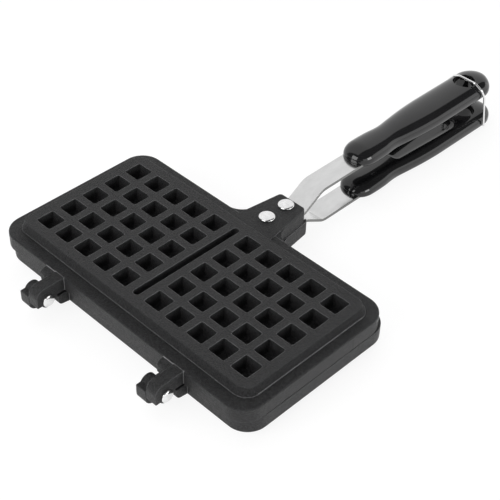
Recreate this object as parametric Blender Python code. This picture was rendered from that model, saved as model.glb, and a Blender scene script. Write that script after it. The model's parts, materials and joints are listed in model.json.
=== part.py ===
"""Stovetop waffle iron: two cast plates on a stop hinge, two riveted straps, moulded grips and a wire clip.

All lengths are in metres. X runs along the hinge, Y from the hinge towards the grips, Z up.
Shapes are first made about the plates' centre with Z = 0 on the parting plane between them.
"""

import math

import bmesh
import bpy
import numpy as np
from mathutils import Matrix, Vector

# Waffle grid
PITCH = 0.018
ROWS = 5
COLUMNS = 5
SPLIT = 0.0113
POCKET_MOUTH = 0.0126
POCKET_DEPTH = 0.0090
POCKET_LEAN = 0.0011
POCKET_CORNER = 0.0014
POCKET_CHAMFER = 0.00045
SLOT_WIDTH = 0.0047
SLOT_LENGTH = 0.0850
SLOT_DEPTH = 0.0120
SLOT_LEAN = 0.0012
SLOT_END = 0.0021

# Cast plate
PLATE_LENGTH = 0.2180
PLATE_WIDTH = 0.1200
PLATE_CORNER = 0.0145
PLATE_DEPTH = 0.0164
RIM_HEIGHT = 0.0104
RIM_FILLET = 0.0016
BOSS_BORDER = 0.0045
BOSS_CORNER = 0.0075
BOSS_FILLET = 0.0015
BOSS_FOOT = 0.0012
BOSS_LEAN = 0.0019
ROOF = 0.0022
PEG_WALL = 0.0018
CHAMBER_BORDER = 0.0018
CHAMBER_LEAN = 0.0014
CHAMBER_CORNER = 0.0060
PARTING_GAP = 0.0003

# Tang that holds the strap
TANG_END = 0.0927
TANG_HEIGHT = 0.0112
TANG_ROOT = 0.0157
TANG_TIP = 0.0112
TANG_CORNER = 0.0027
TANG_BLEND = 0.0128
TANG_WAIST = 0.0108
TANG_FOOT_BLEND = 0.0250
TANG_EDGE = 0.0005
LAP = 0.0001

# Hinge
HINGE_REACH = 0.0124
LOWER_SET = 0.0028
HINGE_SPACING = 0.1058
KNUCKLE_WIDTH = 0.0084
KNUCKLE_RADIUS = 0.0052
KNUCKLE_GAP = 0.0003
NOSE_REACH = 0.0082
NOSE_ROUND = 0.0062
NOSE_DROP = 0.0023
NOSE_EDGE = 0.0006
WEB_LIFT = 0.0005
LUG_FRONT = 0.0074
LUG_TOP = 0.0088
LUG_FOOT = 0.0014
LUG_ROUND = 0.0030
PIN_RADIUS = 0.0022
PIN_HEAD_RADIUS = 0.0042
PIN_HEAD_HEIGHT = 0.0016
PIN_TAIL_RADIUS = 0.0033
PIN_TAIL_HEIGHT = 0.0011

# Straps and rivets
STRAP_WIDTH = 0.0171
STRAP_THICKNESS = 0.0021
STRAP_SEAT = 0.0020
STRAP_BEND = 0.0060
STRAP_RUN_IN = 0.0016
STRAP_RAMP = 0.0175
TOP_STRAP_LEVEL = 0.0138
BOTTOM_STRAP_LEVEL = 0.0128
STRAP_MARGIN = 0.0062
STRAP_IN_GRIP = 0.0700
RIVET_INNER = 0.0684
RIVET_SPACING = 0.0175
RIVET_RADIUS = 0.0025
RIVET_HEAD_RADIUS = 0.0054
RIVET_HEAD_HEIGHT = 0.0018
RIVET_TAIL_RADIUS = 0.0038
RIVET_TAIL_HEIGHT = 0.0011
SEAT_GAP = 0.0003

# Grips
GRIP_START = 0.1467
TOP_GRIP_LENGTH = 0.1467
GRIP_OVERHANG = 0.0054
TOP_GRIP_WIDTH = 0.0284
BOTTOM_GRIP_WIDTH = 0.0294
TOP_GRIP_THICKNESS = 0.0142
BOTTOM_GRIP_THICKNESS = 0.0125
TOP_GRIP_UNDER = 0.0037
BOTTOM_GRIP_UNDER = 0.0034
HANG_HOLE_RADIUS = 0.0080
HANG_HOLE_CHAMFER = 0.0014
HANG_HOLE_MARGIN = 0.0230
RECESS_START = 0.0460
RECESS_LENGTH = 0.0671
RECESS_FRONT = 0.0060
RECESS_REAR = 0.0093
RECESS_DEPTH = 0.0050
SLOT_CLEARANCE = 0.0003
SCREW_PLACE = 0.0360
SCREW_RADIUS = 0.0018
SCREW_HEAD_RADIUS = 0.0033
SCREW_HEAD_HEIGHT = 0.0016
SCREW_LENGTH = 0.0095

# Wire clip
WIRE_RADIUS = 0.0008
WIRE_BEND = 0.0030
CLIP_CLEARANCE = 0.0006
CLIP_BAR_HALF = 0.0092
CLIP_KNEE_DROP = 0.0046
CLIP_KNEE_INSET = 0.0017
CLIP_SHOULDER_DROP = 0.0102
CLIP_SHOULDER_SET = 0.0042
CLIP_BAR_LEAN = 0.0098
CLIP_PIVOT_LIFT = 0.0036

# How far cutters run past what they cut, and the number of chords in round shapes
OVERRUN = 0.0010
ROUND_STEPS = 14
CORNER_STEPS = 5
BEND_STEPS = 3
SMALL_STEPS = 1
DOME_STEPS = 3
FILLET_STEPS = 3
FOOT_STEPS = 2
TAIL_STEPS = 5
GRIP_SIDES = 20
WIRE_SIDES = 6
SMOOTH_ANGLE = math.radians(35)

# A grip from nose to tail: shares of its length, half width, rise over and fall under its middle
GRIP_SHARES = (
    (0.000, 0.34, 0.50, 0.80),
    (0.008, 0.56, 0.74, 0.90),
    (0.026, 0.72, 0.89, 0.97),
    (0.055, 0.81, 0.95, 1.00),
    (0.110, 0.85, 0.97, 1.00),
    (0.180, 0.83, 0.95, 1.00),
    (0.265, 0.76, 0.91, 0.98),
    (0.345, 0.84, 0.94, 0.99),
    (0.440, 0.94, 0.98, 1.00),
    (0.560, 1.00, 1.00, 1.00),
    (0.720, 1.00, 1.00, 1.00),
)

# How full a grip's section is: 2 is an ellipse, more is squarer
TOP_GRIP_FULLNESS = (2.1, 3.0)
BOTTOM_GRIP_FULLNESS = (3.4, 3.2)
TAIL_TURN = math.radians(82)
TAIL_HEIGHT_SHARE = 0.40
SWAGED_SHARE = 0.75
RECESS_ROUND_SHARE = 0.75

FACE = PARTING_GAP / 2
AXIS_Y = -(PLATE_WIDTH / 2 + HINGE_REACH)
GRID_HALF_X = SPLIT / 2 + COLUMNS * PITCH
GRID_HALF_Y = ROWS * PITCH / 2
STRAP_START = RIVET_INNER - STRAP_MARGIN
STRAP_TAIL = GRIP_START + STRAP_IN_GRIP
BOTTOM_GRIP_LENGTH = TOP_GRIP_LENGTH + GRIP_OVERHANG


def clear_scene():
    for old in list(bpy.data.objects):
        bpy.data.objects.remove(old, do_unlink=True)


def finish(name, colour, roughness, metallic):
    """A plain material in the piece's own colour."""
    material = bpy.data.materials.new(name)
    material.use_nodes = True
    shader = material.node_tree.nodes["Principled BSDF"]
    shader.inputs["Base Color"].default_value = (*colour, 1.0)
    shader.inputs["Roughness"].default_value = roughness
    shader.inputs["Metallic"].default_value = metallic
    return material


def add_object(name, mesh):
    piece = bpy.data.objects.new(name, mesh)
    bpy.context.scene.collection.objects.link(piece)
    return piece


def rounded(corners, steps):
    """Closed outline through (x, y, radius) corners; a corner with a radius becomes an arc."""
    outline = []
    for index, (x, y, radius) in enumerate(corners):
        here = Vector((x, y))
        if radius <= 0:
            outline.append((x, y))
            continue
        behind = (Vector(corners[index - 1][:2]) - here).normalized()
        ahead = (Vector(corners[(index + 1) % len(corners)][:2]) - here).normalized()
        half = behind.angle(ahead) / 2
        centre = here + (behind + ahead).normalized() * (radius / math.sin(half))
        arm = here + behind * (radius / math.tan(half)) - centre
        turn = math.pi - 2 * half
        if behind.x * ahead.y - behind.y * ahead.x > 0:
            turn = -turn
        for step in range(steps + 1):
            angle = turn * step / steps
            outline.append((
                centre.x + arm.x * math.cos(angle) - arm.y * math.sin(angle),
                centre.y + arm.x * math.sin(angle) + arm.y * math.cos(angle),
            ))
    return outline


def rectangle(half_x, half_y, radius, steps, centre=(0.0, 0.0)):
    """Outline of a rectangle with rounded corners."""
    cx, cy = centre
    return rounded(
        [
            (cx - half_x, cy - half_y, radius),
            (cx + half_x, cy - half_y, radius),
            (cx + half_x, cy + half_y, radius),
            (cx - half_x, cy + half_y, radius),
        ],
        steps,
    )


def circle(radius, steps, centre=(0.0, 0.0)):
    angles = [math.tau * (step + 0.5) / steps for step in range(steps)]
    return [(centre[0] + radius * math.cos(a), centre[1] + radius * math.sin(a)) for a in angles]


def at_height(outline, z):
    return [(x, y, z) for x, y in outline]


def skin(stacks):
    """Mesh of one or more closed bodies, each a stack of outlines joined in turn and capped."""
    points = []
    faces = []
    for rings in stacks:
        base = len(points)
        count = len(rings[0])
        for ring in rings:
            points.extend(ring)
        for level in range(len(rings) - 1):
            low = base + level * count
            for i in range(count):
                j = (i + 1) % count
                faces.append((low + i, low + j, low + count + j, low + count + i))
        faces.append(tuple(base + i for i in reversed(range(count))))
        last = base + (len(rings) - 1) * count
        faces.append(tuple(last + i for i in range(count)))
    mesh = bpy.data.meshes.new("skin")
    mesh.from_pydata(points, [], faces)
    shape = bmesh.new()
    shape.from_mesh(mesh)
    bmesh.ops.recalc_face_normals(shape, faces=shape.faces)
    shape.to_mesh(mesh)
    shape.free()
    return mesh


def loft(name, *stacks):
    return add_object(name, skin(stacks))


def across(name, outline, low_x, high_x):
    """A solid with its outline in the YZ plane, run from low_x to high_x."""
    return loft(name, [[(x, y, z) for y, z in outline] for x in (low_x, high_x)])


def turned(name, profile, place, toward, steps=ROUND_STEPS):
    """A round piece: profile gives (distance along the axis, radius), place the zero of the axis."""
    spin = Vector((0, 0, 1)).rotation_difference(Vector(toward)).to_matrix()
    rings = []
    for along, radius in profile:
        rings.append([tuple(Vector(place) + spin @ Vector((x, y, along))) for x, y in circle(radius, steps)])
    return loft(name, rings)


def dome(radius, height, base):
    """Profile of a rounded head that stands on base and ends in a small flat."""
    profile = []
    for step in range(DOME_STEPS + 1):
        angle = math.pi / 2 * step / (DOME_STEPS + 1 / 2)
        profile.append((base + height * math.sin(angle), radius * math.cos(angle)))
    return profile


def combine(body, tool, operation):
    """Join or cut with a tool that stays out of the finished model."""
    change = body.modifiers.new(tool.name, "BOOLEAN")
    change.operation = operation
    change.solver = "EXACT"
    change.object = tool
    tool.hide_render = True
    tool.display_type = "WIRE"


def settle(body):
    """Apply the body's modifiers, remove its tools and return the finished mesh."""
    tools = [change.object for change in body.modifiers if change.type == "BOOLEAN"]
    graph = bpy.context.evaluated_depsgraph_get()
    mesh = bpy.data.meshes.new_from_object(body.evaluated_get(graph))
    for tool in tools:
        bpy.data.objects.remove(tool, do_unlink=True)
    body.modifiers.clear()
    body.data = mesh
    return mesh


def smooth(mesh):
    mesh.shade_smooth()
    mesh.set_sharp_from_angle(angle=SMOOTH_ANGLE)


def column_places():
    """X of every pocket's centre, both waffles."""
    right = [SPLIT / 2 + PITCH * (column + 0.5) for column in range(COLUMNS)]
    return [-x for x in reversed(right)] + right


def row_places():
    return [PITCH * (row - (ROWS - 1) / 2) for row in range(ROWS)]


def pocket_half(depth):
    """Half width of a pocket at a depth under the plate's back."""
    return POCKET_MOUTH / 2 - POCKET_LEAN * depth / POCKET_DEPTH


def plate_blank():
    """Outside of a plate: rim, step and raised back, as a stack of rounded rectangles."""
    rim_x = PLATE_LENGTH / 2
    rim_y = PLATE_WIDTH / 2
    boss_x = GRID_HALF_X + BOSS_BORDER
    boss_y = GRID_HALF_Y + BOSS_BORDER
    levels = [(rim_x, rim_y, PLATE_CORNER, FACE)]
    for step in range(FILLET_STEPS + 1):
        angle = math.pi / 2 * step / FILLET_STEPS
        inset = RIM_FILLET * (1 - math.cos(angle))
        rise = RIM_HEIGHT - RIM_FILLET * (1 - math.sin(angle))
        levels.append((rim_x - inset, rim_y - inset, PLATE_CORNER - inset, rise))
    for step in range(FOOT_STEPS + 1):
        angle = math.pi / 2 * step / FOOT_STEPS
        outset = BOSS_LEAN + BOSS_FOOT * (1 - math.sin(angle))
        rise = RIM_HEIGHT + BOSS_FOOT * (1 - math.cos(angle))
        levels.append((boss_x + outset, boss_y + outset, BOSS_CORNER + outset, rise))
    for step in range(FILLET_STEPS + 1):
        angle = math.pi / 2 * step / FILLET_STEPS
        outset = BOSS_FILLET * (math.cos(angle) - 1 / 2)
        rise = PLATE_DEPTH - BOSS_FILLET * (1 - math.sin(angle))
        levels.append((boss_x + outset, boss_y + outset, BOSS_CORNER + outset, rise))
    return loft("plate_blank", [at_height(rectangle(x, y, r, CORNER_STEPS), z) for x, y, r, z in levels])


def tang_outline(root, tip, blend, corner, inset):
    """Outline of the tang with its sides blended into the plate's long wall."""
    wall = PLATE_WIDTH / 2 - LAP - inset
    end = TANG_END - inset
    back = PLATE_WIDTH / 2 - RIM_HEIGHT
    far = root + blend
    root = root - inset
    tip = tip - inset
    blend = blend + inset
    corner = corner - inset
    return rounded(
        [
            (-far, back, 0),
            (far, back, 0),
            (far, wall, 0),
            (root, wall, blend),
            (tip, end, corner),
            (-tip, end, corner),
            (-root, wall, blend),
            (-far, wall, 0),
        ],
        CORNER_STEPS,
    )


def tang_web():
    """Web of the tang, narrow at the parting plane and full width at the rim's level."""
    rings = [at_height(tang_outline(TANG_WAIST, TANG_WAIST, TANG_FOOT_BLEND, TANG_CORNER, 0), FACE)]
    for step in range(FOOT_STEPS + 1):
        angle = math.pi / 2 * step / FOOT_STEPS
        inset = RIM_FILLET * (1 - math.cos(angle))
        rise = RIM_HEIGHT - LAP - RIM_FILLET * (1 - math.sin(angle))
        rings.append(at_height(tang_outline(TANG_ROOT, TANG_TIP, TANG_BLEND, TANG_CORNER, inset), rise))
    return loft("tang_web", rings)


def tang_pad():
    """Raised pad under the rivet heads, from the plate's raised back to the tang's end."""
    back = GRID_HALF_Y + BOSS_BORDER - BOSS_FILLET
    slope = (TANG_ROOT - TANG_TIP) / (TANG_END - PLATE_WIDTH / 2)
    rings = []
    for inset, rise in ((LAP, RIM_HEIGHT / 2), (LAP, TANG_HEIGHT - TANG_EDGE), (LAP + TANG_EDGE, TANG_HEIGHT)):
        end = TANG_END - inset
        tip = TANG_TIP - inset
        root = tip + slope * (end - back)
        corner = TANG_CORNER - inset
        outline = rounded([(-root, back, 0), (root, back, 0), (tip, end, corner), (-tip, end, corner)], CORNER_STEPS)
        rings.append(at_height(outline, rise))
    return loft("tang_pad", rings)


def knuckle_outline(axis, wall):
    """Knuckle in the YZ plane: flat outer face, round nose, and the barrel round the pin."""
    outline = rounded(
        [
            (wall, RIM_HEIGHT - LAP, 0),
            (axis - NOSE_REACH, RIM_HEIGHT - LAP, NOSE_ROUND),
            (axis - NOSE_REACH, -NOSE_DROP, NOSE_EDGE),
            (axis, -NOSE_DROP, 0),
        ],
        CORNER_STEPS,
    )[:-1]
    start = math.pi + math.asin(NOSE_DROP / KNUCKLE_RADIUS)
    stop = math.tau + math.asin(WEB_LIFT / KNUCKLE_RADIUS)
    for step in range(ROUND_STEPS // 2 + 1):
        angle = start + (stop - start) * step / (ROUND_STEPS // 2)
        outline.append((axis + KNUCKLE_RADIUS * math.cos(angle), KNUCKLE_RADIUS * math.sin(angle)))
    outline.append((wall, WEB_LIFT))
    return outline


def lug_outline(axis, wall):
    """Root lug in the YZ plane, which stops the other plate's nose."""
    front = axis + LUG_FRONT
    return rounded(
        [(wall, LUG_TOP, 0), (front, LUG_TOP, LUG_ROUND), (front, LUG_FOOT, NOSE_EDGE), (wall, LUG_FOOT, 0)],
        CORNER_STEPS,
    )


def chamber_half(depth_share):
    """Half sizes of one chamber at a share of the way from its roof to the parting plane."""
    grow = CHAMBER_BORDER + CHAMBER_LEAN * depth_share
    return COLUMNS * PITCH / 2 + grow, ROWS * PITCH / 2 + grow


def half_waffle():
    """The space that one plate gives to the two waffles: chambers less the pegs."""
    roof = PLATE_DEPTH - ROOF
    centre = SPLIT / 2 + COLUMNS * PITCH / 2
    stacks = []
    for side in (-1, 1):
        rings = []
        for share, z in ((1, -OVERRUN), (1, FACE), (0, roof)):
            half_x, half_y = chamber_half(share)
            rings.append(at_height(
                rectangle(half_x, half_y, CHAMBER_CORNER, CORNER_STEPS, (side * centre, 0.0)), z))
        stacks.append(rings)
    waffle = loft("half_waffle", *stacks)
    tip = PLATE_DEPTH - POCKET_DEPTH - ROOF
    pegs = []
    for x in column_places():
        for y in row_places():
            rings = []
            for z in (tip, roof + OVERRUN):
                half = pocket_half(PLATE_DEPTH - z) + PEG_WALL
                rings.append(at_height(rectangle(half, half, 0, SMALL_STEPS, (x, y)), z))
            pegs.append(rings)
    combine(waffle, loft("pegs", *pegs), "DIFFERENCE")
    settle(waffle)
    return waffle


def pockets():
    """Cutter for the square pockets in the plate's back."""
    stacks = []
    for x in column_places():
        for y in row_places():
            floor = pocket_half(POCKET_DEPTH)
            mouth = pocket_half(0)
            flare = mouth + POCKET_CHAMFER + OVERRUN
            rings = [
                at_height(rectangle(floor, floor, POCKET_CORNER, SMALL_STEPS, (x, y)), PLATE_DEPTH - POCKET_DEPTH),
                at_height(rectangle(mouth, mouth, POCKET_CORNER, SMALL_STEPS, (x, y)), PLATE_DEPTH - POCKET_CHAMFER),
                at_height(
                    rectangle(flare, flare, POCKET_CORNER + POCKET_CHAMFER + OVERRUN, SMALL_STEPS, (x, y)),
                    PLATE_DEPTH + OVERRUN),
            ]
            stacks.append(rings)
    return loft("pockets", *stacks)


def divider_slot():
    """Cutter for the slot behind the wall between the two waffles."""
    rings = []
    for grow, z in (
        (-SLOT_LEAN, PLATE_DEPTH - SLOT_DEPTH),
        (0, PLATE_DEPTH - POCKET_CHAMFER),
        (POCKET_CHAMFER + OVERRUN, PLATE_DEPTH + OVERRUN),
    ):
        outline = rectangle(SLOT_WIDTH / 2 + grow, SLOT_LENGTH / 2 + grow, SLOT_END + grow, CORNER_STEPS)
        rings.append(at_height(outline, z))
    return loft("divider_slot", rings)


def strap_channel():
    """Cutter for the strap's seat in the tang."""
    half = STRAP_WIDTH / 2 + SEAT_GAP
    top = STRAP_SEAT + STRAP_THICKNESS + SEAT_GAP
    low = STRAP_START - SEAT_GAP
    high = TANG_END + OVERRUN
    outline = [(-half, low), (half, low), (half, high), (-half, high)]
    return loft("strap_channel", [at_height(outline, -OVERRUN), at_height(outline, top)])


def rivet_places():
    return (RIVET_INNER, RIVET_INNER + RIVET_SPACING)


def rivet_holes(back, low, high):
    radius = RIVET_RADIUS + SEAT_GAP
    stacks = []
    for y in rivet_places():
        outline = circle(radius, ROUND_STEPS, (0.0, y + back))
        stacks.append([at_height(outline, low), at_height(outline, high)])
    return loft("rivet_holes", *stacks)


def hinge_places():
    return (-HINGE_SPACING / 2, HINGE_SPACING / 2)


def plate_casting(reach):
    """One plate with its tang and knuckles, its parting face towards -Z, its wall reach from the pins."""
    axis = -PLATE_WIDTH / 2 - reach
    wall = BOSS_FOOT - PLATE_WIDTH / 2
    plate = plate_blank()
    plate.name = "casting"
    combine(plate, tang_web(), "UNION")
    combine(plate, tang_pad(), "UNION")
    for x in hinge_places():
        combine(plate, across("lug", lug_outline(axis, wall), x - KNUCKLE_WIDTH, x + KNUCKLE_WIDTH), "UNION")
        combine(plate, across("knuckle", knuckle_outline(axis, wall), x + KNUCKLE_GAP / 2, x + KNUCKLE_WIDTH), "UNION")
    for x in hinge_places():
        bore = [(0, PIN_RADIUS + SEAT_GAP), (2 * (KNUCKLE_WIDTH + OVERRUN), PIN_RADIUS + SEAT_GAP)]
        start = (x - KNUCKLE_WIDTH - OVERRUN, axis, 0)
        combine(plate, turned("pin_bore", bore, start, (1, 0, 0)), "DIFFERENCE")
    combine(plate, half_waffle(), "DIFFERENCE")
    combine(plate, pockets(), "DIFFERENCE")
    combine(plate, divider_slot(), "DIFFERENCE")
    combine(plate, strap_channel(), "DIFFERENCE")
    combine(plate, rivet_holes(0, -OVERRUN, TANG_HEIGHT + OVERRUN), "DIFFERENCE")
    mesh = settle(plate)
    bpy.data.objects.remove(plate, do_unlink=True)
    smooth(mesh)
    return mesh


def band(path, thickness):
    """Outline of a strip of even thickness along a path of (y, z, bend radius) corners."""
    sides = []
    for side in (1, -1):
        line = []
        for index, (y, z, bend) in enumerate(path):
            here = Vector((y, z))
            before = Vector(path[max(index - 1, 0)][:2])
            after = Vector(path[min(index + 1, len(path) - 1)][:2])
            coming = (here - before if index else after - here).normalized()
            going = (after - here if index < len(path) - 1 else here - before).normalized()
            middle = (coming + going).normalized()
            normal = Vector((-middle.y, middle.x))
            reach = thickness / 2 / middle.dot(going)
            turning = coming.x * going.y - coming.y * going.x
            swing = -side * math.copysign(thickness / 2, turning) if bend else 0
            spot = here + normal * side * reach
            line.append((spot.x, spot.y, bend + swing if bend else 0))
        sides.append(line)
    return rounded(sides[1] + sides[0][::-1], BEND_STEPS)


def strap(name, half_sign, back, level):
    """A flat strap: seated in a tang that stands back, ramped off the parting plane, then level in the grip."""
    seat = STRAP_SEAT + STRAP_THICKNESS / 2
    turn = TANG_END + STRAP_RUN_IN + back
    path = [
        (STRAP_START + back, half_sign * seat, 0),
        (turn, half_sign * seat, STRAP_BEND),
        (turn + STRAP_RAMP, half_sign * level, STRAP_BEND),
        (STRAP_TAIL, half_sign * level, 0),
    ]
    piece = across(name, band(path, STRAP_THICKNESS), -STRAP_WIDTH / 2, STRAP_WIDTH / 2)
    reach = level + STRAP_THICKNESS
    combine(piece, rivet_holes(back, -reach, reach), "DIFFERENCE")
    hole = [(-reach, SCREW_RADIUS + SEAT_GAP), (reach, SCREW_RADIUS + SEAT_GAP)]
    place = (0, GRIP_START + SCREW_PLACE, 0)
    combine(piece, turned("screw_hole", hole, place, (0, 0, 1)), "DIFFERENCE")
    smooth(settle(piece))
    return piece


def rivet(name, half_sign, y):
    """A rivet with its domed head on the tang's outside and its tail under the strap."""
    top = TANG_HEIGHT + SEAT_GAP
    tail = STRAP_SEAT - SEAT_GAP
    profile = [
        (tail - RIVET_TAIL_HEIGHT, RIVET_TAIL_RADIUS * SWAGED_SHARE),
        (tail - RIVET_TAIL_HEIGHT / 2, RIVET_TAIL_RADIUS),
        (tail, RIVET_TAIL_RADIUS),
        (tail, RIVET_RADIUS),
        (top, RIVET_RADIUS),
        (top, RIVET_HEAD_RADIUS),
    ]
    profile += dome(RIVET_HEAD_RADIUS, RIVET_HEAD_HEIGHT, top)[1:]
    piece = turned(name, profile, (0, y, 0), (0, 0, half_sign))
    smooth(piece.data)
    return piece


def hinge_pin(name, x):
    """A headed pin through both knuckles, with a smaller tail on the far side."""
    face = KNUCKLE_WIDTH + SEAT_GAP
    profile = [
        (-face - PIN_TAIL_HEIGHT, PIN_TAIL_RADIUS * SWAGED_SHARE),
        (-face - PIN_TAIL_HEIGHT / 2, PIN_TAIL_RADIUS),
        (-face, PIN_TAIL_RADIUS),
        (-face, PIN_RADIUS),
        (face, PIN_RADIUS),
        (face, PIN_HEAD_RADIUS),
    ]
    profile += dome(PIN_HEAD_RADIUS, PIN_HEAD_HEIGHT, face)[1:]
    piece = turned(name, profile, (x, AXIS_Y, 0), (1, 0, 0))
    smooth(piece.data)
    return piece


def grip_stations(length, half):
    """Stations along a grip: distance, half width, share of the rise and share of the fall."""
    stations = [(length * along, half * wide, rise, fall) for along, wide, rise, fall in GRIP_SHARES]
    centre = length - half
    for step in range(TAIL_STEPS + 1):
        turn = TAIL_TURN * step / TAIL_STEPS
        share = TAIL_HEIGHT_SHARE + (1 - TAIL_HEIGHT_SHARE) * math.cos(turn)
        stations.append((centre + half * math.sin(turn) / math.sin(TAIL_TURN), half * math.cos(turn), share, share))
    return stations


def grip_ring(y, half, rise, fall, middle, fullness):
    """Closed section of a grip: one power curve over the middle level and one under it."""
    over, under = fullness
    ring = []
    for step in range(GRIP_SIDES):
        angle = math.tau * step / GRIP_SIDES
        across_share = math.cos(angle)
        up_share = math.sin(angle)
        power = 2 / (over if up_share > 0 else under)
        height = rise if up_share > 0 else fall
        ring.append((
            half * math.copysign(abs(across_share) ** power, across_share),
            y,
            middle + height * math.copysign(abs(up_share) ** power, up_share),
        ))
    return ring


def grip(name, width, length, low, thickness, strap_z, fullness):
    """A moulded grip round its strap, with the strap's slot, a screw hole and a hanging hole."""
    middle = low + thickness / 2
    rings = []
    for along, half, rise, fall in grip_stations(length, width / 2):
        rings.append(grip_ring(
            GRIP_START + along, half, rise * thickness / 2, fall * thickness / 2, middle, fullness))
    piece = loft(name, rings)
    half = STRAP_WIDTH / 2 + SLOT_CLEARANCE
    reach = STRAP_THICKNESS / 2 + SLOT_CLEARANCE
    start = GRIP_START - OVERRUN
    stop = STRAP_TAIL + SLOT_CLEARANCE
    slot = [(-half, start), (half, start), (half, stop), (-half, stop)]
    combine(piece, loft("strap_slot", [at_height(slot, strap_z - reach), at_height(slot, strap_z + reach)]),
            "DIFFERENCE")
    combine(piece, hang_hole(length, low, thickness), "DIFFERENCE")
    combine(piece, screw("screw_space", low, SLOT_CLEARANCE), "DIFFERENCE")
    return piece


def hang_hole(length, low, thickness):
    """Cutter for the hanging hole, flared at both faces."""
    rim = HANG_HOLE_RADIUS + HANG_HOLE_CHAMFER + OVERRUN
    top = low + thickness
    profile = [
        (low - OVERRUN, rim),
        (low + HANG_HOLE_CHAMFER, HANG_HOLE_RADIUS),
        (top - HANG_HOLE_CHAMFER, HANG_HOLE_RADIUS),
        (top + OVERRUN, rim),
    ]
    place = (0, GRIP_START + length - HANG_HOLE_MARGIN, 0)
    return turned("hang_hole", profile, place, (0, 0, 1), ROUND_STEPS * 2)


def screw(name, low, grow):
    """A countersunk screw up from a grip's underside, or the space for it."""
    recess = OVERRUN if grow else -SEAT_GAP
    profile = [
        (low - recess, SCREW_HEAD_RADIUS + grow),
        (low + SEAT_GAP + grow, SCREW_HEAD_RADIUS + grow),
        (low + SCREW_HEAD_HEIGHT + grow, SCREW_RADIUS + grow),
        (low + SCREW_LENGTH + grow, SCREW_RADIUS + grow),
    ]
    return turned(name, profile, (0, GRIP_START + SCREW_PLACE, 0), (0, 0, 1))


def recess(top):
    """Cutter for the long recess in the lower grip's top face."""
    start = GRIP_START + RECESS_START
    stop = start + RECESS_LENGTH
    outline = rounded(
        [
            (-RECESS_FRONT, start, RECESS_FRONT * RECESS_ROUND_SHARE),
            (RECESS_FRONT, start, RECESS_FRONT * RECESS_ROUND_SHARE),
            (RECESS_REAR, stop, RECESS_REAR * RECESS_ROUND_SHARE),
            (-RECESS_REAR, stop, RECESS_REAR * RECESS_ROUND_SHARE),
        ],
        CORNER_STEPS,
    )
    return loft("recess", [at_height(outline, top - RECESS_DEPTH), at_height(outline, top + OVERRUN)])


def tube(name, route, radius):
    """A bent wire: straight runs with round bends through (point, bend radius) corners."""
    centre = []
    for index, (corner, bend) in enumerate(route):
        here = Vector(corner)
        if not bend:
            centre.append(here)
            continue
        back = (Vector(route[index - 1][0]) - here).normalized()
        ahead = (Vector(route[index + 1][0]) - here).normalized()
        half = back.angle(ahead) / 2
        hub = here + (back + ahead).normalized() * (bend / math.sin(half))
        arm = here + back * (bend / math.tan(half)) - hub
        axis = back.cross(ahead)
        for step in range(BEND_STEPS + 1):
            angle = -(math.pi - 2 * half) * step / BEND_STEPS
            centre.append(hub + Matrix.Rotation(angle, 3, axis) @ arm)
    rings = []
    upright = Vector((0, 1, 0))
    for index, spot in enumerate(centre):
        before = centre[max(index - 1, 0)]
        after = centre[min(index + 1, len(centre) - 1)]
        along = (after - before).normalized()
        side = along.cross(upright).normalized()
        rise = side.cross(along)
        ring = []
        for step in range(WIRE_SIDES):
            angle = math.tau * step / WIRE_SIDES
            ring.append(tuple(spot + (side * math.cos(angle) + rise * math.sin(angle)) * radius))
        rings.append(ring)
    return loft(name, rings)


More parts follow.
